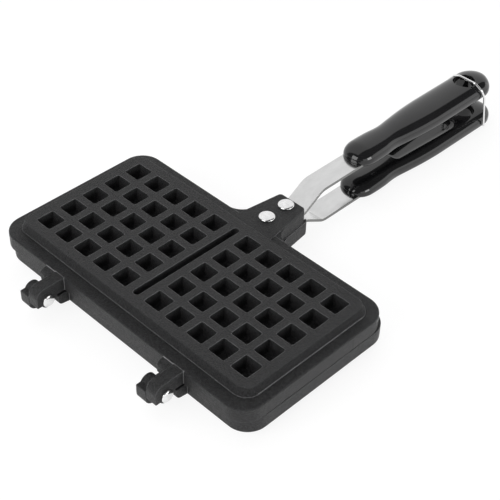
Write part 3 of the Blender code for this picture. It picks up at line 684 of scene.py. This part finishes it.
def strap(name, half_sign, back, level):
    seat = STRAP_SEAT + STRAP_THICKNESS / 2
    turn = TANG_END + STRAP_RUN_IN + back
    path = [(RIVET_INNER - STRAP_MARGIN + back, half_sign * seat, 0), (turn, half_sign * seat, STRAP_BEND),
            (turn + STRAP_RAMP, half_sign * level, STRAP_BEND), (STRAP_TAIL, half_sign * level, 0)]
    piece = run_across(band(path, STRAP_THICKNESS), -STRAP_WIDTH / 2, STRAP_WIDTH / 2, STRAP_EDGE)
    piece.name = name
    return soften(piece)


upper_strap = strap("upper_strap", 1, 0, TOP_STRAP_LEVEL)
lower_strap = strap("lower_strap", -1, LOWER_SET, BOTTOM_STRAP_LEVEL)
print("strap length:", round(STRAP_TAIL - RIVET_INNER + STRAP_MARGIN, 4))

# %% Rivets, pins and screws
RIVET_RADIUS = 0.0025
RIVET_HEAD_RADIUS = 0.0054
RIVET_HEAD_HEIGHT = 0.0018
RIVET_TAIL_RADIUS = 0.0038
RIVET_TAIL_HEIGHT = 0.0011
PIN_RADIUS = 0.0022
PIN_HEAD_RADIUS = 0.0042
PIN_HEAD_HEIGHT = 0.0016
PIN_TAIL_RADIUS = 0.0033
PIN_TAIL_HEIGHT = 0.0011
SCREW_PLACE = 0.0360
SCREW_RADIUS = 0.0018
SCREW_HEAD_RADIUS = 0.0033
SCREW_HEAD_HEIGHT = 0.0016
SCREW_LENGTH = 0.0095
SCREW_RIM = ((1.0, 0.9), (1.2, 1.0), (1.6, 1.0))
DRIVE_ARM = 0.62
DRIVE_WIDTH = 0.14
DRIVE_DEPTH = 0.8
TURN_STEPS = 48
HEAD_EDGE = 0.16
HEAD_STEPS = 11
TAIL_FLAT = 0.3
TURNED_ANGLE = math.radians(50)


def spun(name, profile, place, toward):
    """A profile of (along, radius) points spun round an axis through the place."""
    spin = Vector((0, 0, 1)).rotation_difference(Vector(toward)).to_matrix()
    angles = [math.tau * step / TURN_STEPS for step in range(TURN_STEPS)]
    rings = [[tuple(Vector(place) + spin @ Vector((radius * math.cos(a), radius * math.sin(a), along)))
              for a in angles] for along, radius in profile]
    return piece_of(name, stack_mesh(rings))


def headed_profile(tail_radius, tail_height, shank, tail, top, head_radius, head_height):
    """Swaged tail, shank and a domed head with a small upright edge."""
    edge = head_height * HEAD_EDGE
    profile = [(tail - tail_height, tail_radius * TAIL_FLAT)]
    for angle in quarter()[:-1]:
        profile.append((tail - tail_height * math.cos(angle),
                        tail_radius * (TAIL_FLAT + (1 - TAIL_FLAT) * math.sin(angle))))
    profile += [(tail, tail_radius), (tail, shank), (top, shank), (top, head_radius - edge / 2)]
    profile += [(top + edge / 3, head_radius), (top + edge, head_radius)]
    for step in range(1, HEAD_STEPS + 1):
        angle = math.pi / 2 * step / (HEAD_STEPS + 0.5)
        profile.append((top + edge + (head_height - edge) * math.sin(angle), head_radius * math.cos(angle)))
    return profile


def rivet(name, half_sign, y):
    profile = headed_profile(RIVET_TAIL_RADIUS, RIVET_TAIL_HEIGHT, RIVET_RADIUS, STRAP_SEAT - SEAT_GAP,
                             TANG_HEIGHT + SEAT_GAP, RIVET_HEAD_RADIUS, RIVET_HEAD_HEIGHT)
    return soften(spun(name, profile, (0, y, 0), (0, 0, half_sign)), TURNED_ANGLE)


def hinge_pin(name, x):
    face = KNUCKLE_WIDTH + SEAT_GAP
    profile = headed_profile(PIN_TAIL_RADIUS, PIN_TAIL_HEIGHT, PIN_RADIUS, -face, face,
                             PIN_HEAD_RADIUS, PIN_HEAD_HEIGHT)
    return soften(spun(name, profile, (x, AXIS_Y, 0), (1, 0, 0)), TURNED_ANGLE)


def grip_screw(name, low):
    """A countersunk screw with a cross cut in its head."""
    y = GRIP_START + SCREW_PLACE
    profile = [(low + SEAT_GAP * lift, SCREW_HEAD_RADIUS * share) for lift, share in SCREW_RIM]
    profile += [(low + SCREW_HEAD_HEIGHT, SCREW_RADIUS), (low + SCREW_LENGTH, SCREW_RADIUS)]
    screw = spun(name, profile, (0, y, 0), (0, 0, 1))
    arm, wide = SCREW_HEAD_RADIUS * DRIVE_ARM, SCREW_HEAD_RADIUS * DRIVE_WIDTH
    deep = low + SCREW_HEAD_HEIGHT * DRIVE_DEPTH
    for half_x, half_y in ((arm, wide), (wide, arm)):
        slot = rounded_box(half_x, half_y, wide / 2, 2, (0.0, y))
        cut_with(screw, piece_of("drive", stack_mesh([at_height(slot, low - OVERRUN), at_height(slot, deep)])))
    return soften(screw)


RIVETS = {
    "top_rivet_inner": rivet("upper_rivet_inner", 1, RIVET_INNER),
    "top_rivet_outer": rivet("upper_rivet_outer", 1, RIVET_INNER + RIVET_SPACING),
    "bottom_rivet_inner": rivet("lower_rivet_inner", -1, RIVET_INNER + LOWER_SET),
    "bottom_rivet_outer": rivet("lower_rivet_outer", -1, RIVET_INNER + RIVET_SPACING + LOWER_SET),
}
PINS = {
    "hinge_pin_left": hinge_pin("left_pin", -HINGE_SPACING / 2),
    "hinge_pin_right": hinge_pin("right_pin", HINGE_SPACING / 2),
}
print("turned pieces:", len(RIVETS) + len(PINS))

# %% [markdown]
# ## The grips
# A grip is moulded: a rounded nose over the strap, a waist for the fingers, a long full body and a round tail
# with a hanging hole. Its section is a power curve, nearly an ellipse outside and flatter where the two grips
# face each other. Each listed station gives its place along the grip, then the shares of the full width, of
# the height above the widest line and of the height below it. A smooth curve joins them, and the nose and the
# tail close in curves of their own.

# %% The grips' shape
TOP_GRIP_LENGTH = 0.1467
BOTTOM_GRIP_LENGTH = TOP_GRIP_LENGTH + 0.0054
TOP_GRIP_WIDTH = 0.0284
BOTTOM_GRIP_WIDTH = 0.0294
TOP_GRIP_THICKNESS = 0.0142
BOTTOM_GRIP_THICKNESS = 0.0125
TOP_GRIP_UNDER = 0.0037
BOTTOM_GRIP_UNDER = 0.0034
HANG_HOLE_RADIUS = 0.0080
HANG_HOLE_LIP = 0.0008
HANG_HOLE_MARGIN = 0.0230
UPPER_FULLNESS = (2.1, 3.0)
LOWER_FULLNESS = (2.7, 3.2)
GRIP_SIDES = 72
GRIP_STEPS = 72
GRIP_STATIONS = (
    (0.0000, 0.81, 0.95, 1.00),
    (0.0550, 0.83, 0.96, 1.00),
    (0.1100, 0.85, 0.97, 1.00),
    (0.1800, 0.83, 0.95, 1.00),
    (0.2650, 0.76, 0.91, 0.98),
    (0.3450, 0.84, 0.94, 0.99),
    (0.4400, 0.94, 0.98, 1.00),
    (0.5600, 1.00, 1.00, 1.00),
    (0.7200, 1.00, 1.00, 1.00),
)
NOSE_SHARE = 0.085
NOSE_POWER = 2.1
WIDEST_SHARE = 0.38
TAIL_TURN = math.radians(88.5)
TAIL_STEPS = 19
TAIL_HEIGHT_SHARE = 0.32
NOSE_FULLNESS = 2.1
NOSE_RUN = 0.040


def smooth_between(points, steps):
    """Points along a smooth curve through the given ones, spaced by the root of the first value."""
    keys = [math.sqrt(point[0]) for point in points]
    result = []
    for step in range(steps + 1):
        key = keys[-1] * step / steps
        i = min(max(sum(1 for k in keys if k <= key) - 1, 0), len(keys) - 2)
        span = keys[i + 1] - keys[i]
        t = (key - keys[i]) / span
        values = []
        for axis in range(1, len(points[0])):
            p = [points[j][axis] for j in (max(i - 1, 0), i, i + 1, min(i + 2, len(points) - 1))]
            k = [keys[j] for j in (max(i - 1, 0), i, i + 1, min(i + 2, len(points) - 1))]
            m0 = (p[2] - p[0]) / (k[2] - k[0]) * span
            m1 = (p[3] - p[1]) / (k[3] - k[1]) * span
            values.append((2 * t**3 - 3 * t**2 + 1) * p[1] + (t**3 - 2 * t**2 + t) * m0
                          + (-2 * t**3 + 3 * t**2) * p[2] + (t**3 - t**2) * m1)
        result.append((key * key, *values))
    return result


def grip_rings(length, half, low, thickness, fullness):
    """Rings from the nose to the tail; fullness squares off the section above and below its widest line."""
    middle = low + thickness * WIDEST_SHARE
    stations = []
    for along, wide, rise, fall in smooth_between(GRIP_STATIONS, GRIP_STEPS)[1:]:
        short = 1 - min(along / NOSE_SHARE, 1.0)
        cap = (1 - short ** NOSE_POWER) ** (1 / NOSE_POWER)
        stations.append((length * along, half * cap * min(wide, 1.0), cap * min(rise, 1.0), cap * min(fall, 1.0)))
    centre = length - half
    for step in range(TAIL_STEPS + 1):
        turn = TAIL_TURN * step / TAIL_STEPS
        share = TAIL_HEIGHT_SHARE + (1 - TAIL_HEIGHT_SHARE) * math.cos(turn)
        stations.append((centre + half * math.sin(turn) / math.sin(TAIL_TURN), half * math.cos(turn), share, share))
    rings = []
    for along, wide, rise, fall in stations:
        ring = []
        for step in range(GRIP_SIDES):
            angle = math.tau * step / GRIP_SIDES
            c, s = math.cos(angle), math.sin(angle)
            full = fullness[0] if s > 0 else fullness[1]
            power = 2 / (NOSE_FULLNESS + (full - NOSE_FULLNESS) * min(along / NOSE_RUN, 1.0))
            height = thickness * (rise * (1 - WIDEST_SHARE) if s > 0 else fall * WIDEST_SHARE)
            ring.append((wide * math.copysign(abs(c) ** power, c), GRIP_START + along,
                         middle + height * math.copysign(abs(s) ** power, s)))
        rings.append(ring)
    return rings


# %% [markdown]
# The holes: the hanging hole flares at both faces, the screw sits in a small well underneath, and the lower
# grip has a long shallow recess in its inner face. After the cuts the outside takes back the normals that it
# had before, so the gloss runs up to the lips without a dent.

# %% Cut the grips
RECESS_START = 0.0460
RECESS_LENGTH = 0.0671
RECESS_FRONT = 0.0060
RECESS_REAR = 0.0093
RECESS_DEPTH = 0.0032
RECESS_BOWL = 0.0053
RECESS_LIP = 0.0006
RECESS_LIP_TURNS = (0.0, 0.4, 0.8, 1.2)
RECESS_ROUND = 0.9
HOLE_STEPS = 64
HOLE_ANGLE = math.radians(32)
SKIN_REACH = 0.00006
SKIN_ALIKE = 0.9


def hole_rings(radius, lip, low, high, place):
    cx, cy = place
    levels = [(low - OVERRUN, radius + lip + OVERRUN)]
    levels += [(low + rise, radius + flare) for rise, flare in fillet(lip)]
    levels += [(high - drop, radius + flare) for drop, flare in reversed(fillet(lip))]
    levels.append((high + OVERRUN, radius + lip + OVERRUN))
    angles = [math.tau * step / HOLE_STEPS for step in range(HOLE_STEPS)]
    return [[(cx + r * math.cos(a), cy + r * math.sin(a), z) for a in angles] for z, r in levels]


def recess_rings(top):
    start = GRIP_START + RECESS_START
    stop = start + RECESS_LENGTH
    rings = []

    def ring(grow, z):
        front, rear = RECESS_FRONT + grow, RECESS_REAR + grow
        round_front, round_rear = front * RECESS_ROUND, rear * RECESS_ROUND
        rings.append(at_height(rounded([
            (-front, start - grow, round_front), (front, start - grow, round_front),
            (rear, stop + grow, round_rear), (-rear, stop + grow, round_rear)]), z))

    for rise, inset in fillet(1, 10):
        ring(-RECESS_BOWL * inset, top - RECESS_DEPTH + (RECESS_DEPTH - RECESS_LIP) * rise)
    for angle in RECESS_LIP_TURNS:
        ring(RECESS_LIP * (1 - math.cos(angle)), top - RECESS_LIP * (1 - math.sin(angle)))
    ring(RECESS_LIP + OVERRUN, top + OVERRUN)
    return rings


def grip_tools(length, low, thickness, hollow):
    stacks = [hole_rings(HANG_HOLE_RADIUS, HANG_HOLE_LIP, low, low + thickness,
                         (0.0, GRIP_START + length - HANG_HOLE_MARGIN))]
    well_half = SCREW_HEAD_RADIUS + SEAT_GAP
    well = rounded_box(well_half, well_half, SCREW_HEAD_RADIUS, centre=(0.0, GRIP_START + SCREW_PLACE))
    stacks.append([at_height(well, low - OVERRUN), at_height(well, low + SCREW_HEAD_HEIGHT + SEAT_GAP)])
    if hollow:
        stacks.append(recess_rings(low + thickness))
    return join_pieces("tools", [piece_of("tool", stack_mesh(stack)) for stack in stacks])


def keep_outer_normals(mesh, uncut):
    """Give each corner on the old outside the smooth normal that the uncut shape has there."""
    tree = BVHTree.FromBMesh(uncut)
    uncut.faces.ensure_lookup_table()
    normals = []
    for face in mesh.polygons:
        _, normal, _, distance = tree.find_nearest(face.center)
        outer = distance is not None and distance < SKIN_REACH and face.normal.dot(normal) > SKIN_ALIKE
        for corner in face.loop_indices:
            if not outer:
                normals.append((0.0, 0.0, 0.0))
                continue
            place = mesh.vertices[mesh.loops[corner].vertex_index].co
            source = uncut.faces[tree.find_nearest(place)[2]]
            weights = [1.0 / max((v.co - place).length, 1e-7) ** 2 for v in source.verts]
            normals.append(tuple(sum((v.normal * w for v, w in zip(source.verts, weights)), Vector()).normalized()))
    mesh.normals_split_custom_set(normals)
    return sum(1 for normal in normals if any(normal))


def moulded_grip(name, width, length, low, thickness, fullness, hollow):
    outside = stack_mesh(grip_rings(length, width / 2, low, thickness, fullness))
    outside.shade_smooth()
    grip = piece_of(name, outside)
    uncut = bmesh.new()
    uncut.from_mesh(outside)
    bmesh.ops.triangulate(uncut, faces=[f for f in uncut.faces if len(f.verts) > 4])
    uncut.normal_update()
    cut_with(grip, grip_tools(length, low, thickness, hollow))
    grip.data.shade_smooth()
    grip.data.set_sharp_from_angle(angle=HOLE_ANGLE)
    kept = keep_outer_normals(grip.data, uncut)
    uncut.free()
    print(name, "corners that keep their own normals:", kept, "of", len(grip.data.loops))
    return grip


top_low = TOP_STRAP_LEVEL - TOP_GRIP_UNDER
bottom_low = -BOTTOM_STRAP_LEVEL - BOTTOM_GRIP_UNDER
upper_grip = moulded_grip("upper_grip", TOP_GRIP_WIDTH, TOP_GRIP_LENGTH, top_low, TOP_GRIP_THICKNESS,
                          UPPER_FULLNESS, False)
lower_grip = moulded_grip("lower_grip", BOTTOM_GRIP_WIDTH, BOTTOM_GRIP_LENGTH, bottom_low, BOTTOM_GRIP_THICKNESS,
                          LOWER_FULLNESS, True)
SCREWS = {
    "top_grip_screw": grip_screw("upper_grip_screw", top_low),
    "bottom_grip_screw": grip_screw("lower_grip_screw", bottom_low),
}

# %% [markdown]
# ## The wire clip
# One length of spring wire: a crossbar over the upper grip, bent down past a knee on each side, with legs that
# reach to the lower grip. Its far side hugs the grip's dome more closely than the near one, as sprung wire does.
# A round outline swept along the route makes it, with many short steps in the bends and domed ends.

# %% Bend the wire
WIRE_RADIUS = 0.0008
WIRE_BEND = 0.0030
CLIP_CLEARANCE = 0.0006
CLIP_BAR_HALF = 0.0092
CLIP_KNEE_DROP = 0.0046
CLIP_KNEE_INSET = 0.0017
CLIP_SHOULDER_DROP = 0.0102
CLIP_SHOULDER_SET = 0.0042
CLIP_BAR_LEAN = 0.0098
CLIP_PIVOT_LIFT = 0.0036
FAR_BAR_HALF = 0.0048
FAR_KNEE_HALF = 0.0102
FAR_KNEE_DROP = 0.0030
FAR_SHOULDER_HALF = 0.0158
FAR_SHOULDER_DROP = 0.0098
WIRE_END_DOME = 0.6
WIRE_ANGLE = math.radians(60)


def wire_route():
    bar_y = GRIP_START + TOP_GRIP_LENGTH - HANG_HOLE_MARGIN + WIRE_RADIUS
    bar_z = top_low + TOP_GRIP_THICKNESS + SEAT_GAP + WIRE_RADIUS
    leg_x = BOTTOM_GRIP_WIDTH / 2 + CLIP_CLEARANCE + WIRE_RADIUS
    foot_y, foot_z = bar_y + CLIP_BAR_LEAN, bottom_low + CLIP_PIVOT_LIFT
    bends = ((leg_x, CLIP_SHOULDER_DROP), (leg_x - CLIP_KNEE_INSET, CLIP_KNEE_DROP), (CLIP_BAR_HALF, 0.0),
             (-FAR_BAR_HALF, 0.0), (-FAR_KNEE_HALF, FAR_KNEE_DROP), (-FAR_SHOULDER_HALF, FAR_SHOULDER_DROP))
    route = [((x, bar_y + CLIP_SHOULDER_SET * drop / CLIP_SHOULDER_DROP, bar_z - drop), WIRE_BEND)
             for x, drop in bends]
    return [((leg_x, foot_y, foot_z), 0), *route, ((-leg_x, foot_y, foot_z), 0)]


def bent_wire(name, route, radius, steps=8, sides=20):
    """A round wire along a route of (corner, bend radius) points."""
    centre = []
    for index, (corner, bend) in enumerate(route):
        here = Vector(corner)
        if not bend:
            centre.append(here)
            continue
        back = (Vector(route[index - 1][0]) - here).normalized()
        ahead = (Vector(route[index + 1][0]) - here).normalized()
        half = back.angle(ahead) / 2
        hub = here + (back + ahead).normalized() * (bend / math.sin(half))
        arm = here + back * (bend / math.tan(half)) - hub
        axis = back.cross(ahead)
        for step in range(steps + 1):
            angle = -(math.pi - 2 * half) * step / steps
            centre.append(hub + Matrix.Rotation(angle, 3, axis) @ arm)
    rings = []
    side = None
    for index, spot in enumerate(centre):
        before = centre[max(index - 1, 0)]
        after = centre[min(index + 1, len(centre) - 1)]
        along = (after - before).normalized()
        side = (side - along * side.dot(along) if side else along.cross(Vector((0, 1, 0)))).normalized()
        rise = side.cross(along)
        turns = [math.tau * step / sides for step in range(sides)]
        ends = [(1.0, 0.0)]
        if index in (0, len(centre) - 1):
            ends = [(math.cos(angle), WIRE_END_DOME * math.sin(angle)) for angle in quarter(3)[:-1]]
            ends = ends[::-1] if index == 0 else ends
        for share, push in ends:
            out = -along if index == 0 else along
            middle = spot + out * radius * (push - WIRE_END_DOME) if len(ends) > 1 else spot
            rings.append([tuple(middle + (side * math.cos(a) + rise * math.sin(a)) * radius * share) for a in turns])
    return soften(piece_of(name, stack_mesh(rings)), WIRE_ANGLE)


wire_clip = bent_wire("wire_clip", wire_route(), WIRE_RADIUS)
print("wire corners:", len(wire_clip.data.vertices))

# %% [markdown]
# ## Hang the fine pieces on the model
# Every fine piece is moved into the model's frame, rides on the body of the node that it stands for, and takes
# over from that node in the picture.

# %% Ride and replace
FINE = {
    "top_plate": upper_casting,
    "bottom_plate": lower_casting,
    "top_strap": upper_strap,
    "bottom_strap": lower_strap,
    "top_grip": upper_grip,
    "bottom_grip": lower_grip,
    "handle_clip": wire_clip,
    **RIVETS,
    **PINS,
    **SCREWS,
}
BODY_OF = {node: body for body, names in frame["record"]["behaviour"]["bodies"].items() for node in names}
SLOT_OF = {part["node"]: part["material_slot"] for part in frame["record"]["subparts"]}
for node, piece in FINE.items():
    piece.data.transform(Matrix.Translation(CAD_SHIFT))
    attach(piece, BODY_OF[node])
    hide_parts(node)
    lows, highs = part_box(node)
    corners = [Vector(v.co) for v in piece.data.vertices]
    off = [max(abs(min(c[i] for c in corners) - lows[i]), abs(max(c[i] for c in corners) - highs[i]))
           for i in range(3)]
    print(f"{node}: box differs by {max(off) * 1000:.2f} mm")

# %% [markdown]
# ## The finishes
# Four finishes make the whole iron. They share two effects, each a small group of shader nodes: a mottle that
# varies a value over the surface at a chosen scale, and an edge mask that finds the edges that stand out, where the
# coat is paler partly from wear and partly from a painted highlight.

# %% Shared effects
MOTTLE_STEPS = 4.0
MOTTLE_BITE = 0.65
MOTTLE_RANGE = (0.32, 0.68)
# Settings of the edge mask, whose paler tone is partly wear and partly a painted highlight.
WEAR_HIGHLIGHT_SAMPLES = 6
WEAR_HIGHLIGHT_TURN = (0.99, 0.93)
WEAR_HIGHLIGHT_POINT = (0.500, 0.506)


def value_group(name, inputs):
    """An empty group with these inputs and one output, Value."""
    group = bpy.data.node_groups.new(name, "ShaderNodeTree")
    for label, kind, value in inputs:
        socket = group.interface.new_socket(label, in_out="INPUT", socket_type=kind)
        if value is not None:
            socket.default_value = value
    group.interface.new_socket("Value", in_out="OUTPUT", socket_type="NodeSocketFloat")
    return group, group.nodes.new("NodeGroupInput").outputs, group.nodes.new("NodeGroupOutput").inputs["Value"]


def mottle_group():
    """Soft noise, stretched so that it runs from Low to High."""
    group, given, result = value_group("mottle", (
        ("Place", "NodeSocketVector", None), ("Scale", "NodeSocketFloat", 400.0),
        ("Low", "NodeSocketFloat", 0.0), ("High", "NodeSocketFloat", 1.0)))
    noise = add_node(group, "TexNoise", {"Vector": given["Place"], "Scale": given["Scale"],
                                         "Detail": MOTTLE_STEPS, "Roughness": MOTTLE_BITE})
    spread = add_node(group, "MapRange", {"Value": noise.outputs["Fac"], "From Min": MOTTLE_RANGE[0],
                                          "From Max": MOTTLE_RANGE[1], "To Min": given["Low"], "To Max": given["High"]})
    group.links.new(spread.outputs["Result"], result)
    return group


def edge_wear_and_highlight_group():
    """A mask for edges paler partly from wear, partly from a painted highlight: 1 within Width of an edge that stands
    out, 0 on flat faces and in inside corners.
    """
    group, given, result = value_group("edge_wear_and_highlight", (("Width", "NodeSocketFloat", 0.0005),))
    softened = add_node(group, "Bevel", {"Radius": given["Width"]})
    softened.samples = WEAR_HIGHLIGHT_SAMPLES
    shape = add_node(group, "NewGeometry", {})
    alike = add_node(group, "VectorMath", {0: softened.outputs["Normal"], 1: shape.outputs["Normal"]}, "DOT_PRODUCT")
    turned = add_node(group, "MapRange", {"Value": alike.outputs["Value"], "From Min": WEAR_HIGHLIGHT_TURN[0],
                                          "From Max": WEAR_HIGHLIGHT_TURN[1]})
    outward = add_node(group, "MapRange", {"Value": shape.outputs["Pointiness"], "From Min": WEAR_HIGHLIGHT_POINT[0],
                                           "From Max": WEAR_HIGHLIGHT_POINT[1]})
    both = add_node(group, "Math", {0: turned.outputs["Result"], 1: outward.outputs["Result"]}, "MULTIPLY")
    group.links.new(both.outputs[0], result)
    return group


MOTTLE = mottle_group()
EDGE_WEAR_AND_HIGHLIGHT = edge_wear_and_highlight_group()
print("shared effects:", MOTTLE.name, EDGE_WEAR_AND_HIGHLIGHT.name)


def blank_finish(name):
    finish = bpy.data.materials.new(name)
    finish.use_nodes = True
    tree = finish.node_tree
    return finish, tree, tree.nodes["Principled BSDF"], add_node(tree, "TexCoord", {}).outputs["Object"]


def mottle(tree, place, scale, low=0.0, high=1.0):
    inputs = {"Place": place, "Scale": scale, "Low": low, "High": high}
    return add_node(tree, "Group", inputs, group=MOTTLE).outputs["Value"]


def shades(tree, value, dark, light):
    """A colour between dark and light; each is a colour, or another node's output."""
    ends = [end if isinstance(end, bpy.types.NodeSocket) else (*end, 1.0) for end in (dark, light)]
    return add_node(tree, "Mix", {0: value, 6: ends[0], 7: ends[1]}, data_type="RGBA").outputs[2]


def bump(tree, surface, height, strength, distance):
    node = add_node(tree, "Bump", {"Strength": strength, "Distance": distance, "Height": height})
    tree.links.new(node.outputs["Normal"], surface.inputs["Normal"])


# %% [markdown]
# The coat on the castings is a sprayed non-stick layer: almost black and satin, with a fine grain of paler
# flecks. The flecks sit in the colour, since a grain that is finer than the picture's dots would be lost as
# relief. Where an edge stands out, the coat is paler in patches: partly worn, partly a painted highlight.

# %% Coated casting
COAT_DARK = (0.004, 0.004, 0.0042)
COAT_PALE = (0.042, 0.042, 0.0435)
COAT_FLECKS = 1100.0
COAT_SHINE = (700.0, 0.30, 0.46)
COAT_SPECULAR = 0.24
COAT_GRAIN = 1300.0
COAT_RELIEF = (1.0, 0.0005)
# The pale edge tone below is partly wear and partly a painted highlight along edges that stand out.
WEAR_HIGHLIGHT_WIDTH = 0.0006
WEAR_HIGHLIGHT_PATCHES = (500.0, 0.5, 1.0)
WEAR_HIGHLIGHT_TONE = (0.44, 0.44, 0.45)


def coated_casting():
    finish, tree, surface, place = blank_finish("coated_casting")
    coat = shades(tree, mottle(tree, place, COAT_FLECKS), COAT_DARK, COAT_PALE)
    # Edges that stand out turn paler in patches: partly wear, partly a painted highlight.
    worn_and_highlit = add_node(tree, "Group", {"Width": WEAR_HIGHLIGHT_WIDTH}, group=EDGE_WEAR_AND_HIGHLIGHT).outputs["Value"]
    patchy_wear_and_highlight = add_node(tree, "Math", {0: worn_and_highlit, 1: mottle(tree, place, *WEAR_HIGHLIGHT_PATCHES)}, "MULTIPLY")
    tree.links.new(shades(tree, patchy_wear_and_highlight.outputs[0], coat, WEAR_HIGHLIGHT_TONE), surface.inputs["Base Color"])
    tree.links.new(mottle(tree, place, *COAT_SHINE), surface.inputs["Roughness"])
    surface.inputs["Specular IOR Level"].default_value = COAT_SPECULAR
    bump(tree, surface, mottle(tree, place, COAT_GRAIN), *COAT_RELIEF)
    return finish


# %% [markdown]
# The grips are glossy moulded resin, black right through. The gloss is the resin's own, as it comes from a
# polished mould: nearly perfect, with only the faintest change from place to place.

# %% Moulded resin
RESIN_DARK = (0.006, 0.006, 0.0065)
RESIN_PALE = (0.010, 0.010, 0.011)
RESIN_CLOUDS = 40.0
RESIN_SHINE = (120.0, 0.05, 0.08)
RESIN_IOR = 1.5


def moulded_resin():
    finish, tree, surface, place = blank_finish("moulded_resin")
    colour = shades(tree, mottle(tree, place, RESIN_CLOUDS), RESIN_DARK, RESIN_PALE)
    tree.links.new(colour, surface.inputs["Base Color"])
    tree.links.new(mottle(tree, place, *RESIN_SHINE), surface.inputs["Roughness"])
    surface.inputs["IOR"].default_value = RESIN_IOR
    return finish


# %% [markdown]
# The straps are stamped stainless strip with a light tumbled satin, drawn out a little along the strap, and
# their sheared sides carry a painted shade, darker than the rolled faces. The rivets, pins, screws and wire are
# brighter.

# %% Steels
# The painted shade on the strap's sides: the facings that it blends between, and its slight warmth.
SIDE_SHADE_TURN = (0.45, 0.75)
SIDE_SHADE_WARMTH = 0.98
SHINE_FINENESS = 1.7
RELIEF_FINENESS = 2.5
STEEL_RELIEF = (0.10, 0.00004)


def painted_side_shade(tree, colour, side):
    """The colour, with a painted shade of the given tone on faces that look along the hinge, as a strap's two sides do.
    """
    shape = add_node(tree, "NewGeometry", {})
    facing = add_node(tree, "SeparateXYZ", {0: shape.outputs["Normal"]})
    turned = add_node(tree, "Math", {0: facing.outputs["X"]}, "ABSOLUTE")
    share = add_node(tree, "MapRange", {"Value": turned.outputs[0], "From Min": SIDE_SHADE_TURN[0],
                                        "From Max": SIDE_SHADE_TURN[1]})
    return shades(tree, share.outputs["Result"], colour, (side, side, side * SIDE_SHADE_WARMTH))


def steel(name, tones, shine, scale, stretch, side=None):
    finish, tree, surface, place = blank_finish(name)
    surface.inputs["Metallic"].default_value = 1.0
    drawn = add_node(tree, "Mapping", {"Vector": place, "Scale": (1.0, stretch, 1.0)}).outputs["Vector"]
    colour = shades(tree, mottle(tree, drawn, scale), (tones[0],) * 3, (tones[1],) * 3)
    # With a side tone given, faces that look along the hinge get a painted shade.
    if side:
        colour = painted_side_shade(tree, colour, side)
    tree.links.new(colour, surface.inputs["Base Color"])
    tree.links.new(mottle(tree, drawn, scale * SHINE_FINENESS, *shine), surface.inputs["Roughness"])
    bump(tree, surface, mottle(tree, drawn, scale * RELIEF_FINENESS), *STEEL_RELIEF)
    return finish


FINISH_OF = {
    "cast_plate": coated_casting(),
    # The straps' sides carry a painted shade of tone 0.20.
    "strap_steel": steel("strap_steel", (0.56, 0.64), (0.12, 0.20), scale=110.0, stretch=0.35, side=0.20),
    "bright_steel": steel("bright_steel", (0.70, 0.82), (0.12, 0.20), scale=260.0, stretch=1.0),
    "moulded_grip": moulded_resin(),
}
for node, piece in FINE.items():
    for mesh in (piece.data, nodes[node].data):
        mesh.materials.clear()
        mesh.materials.append(FINISH_OF[SLOT_OF[node]])
print("finished pieces:", len(FINE))
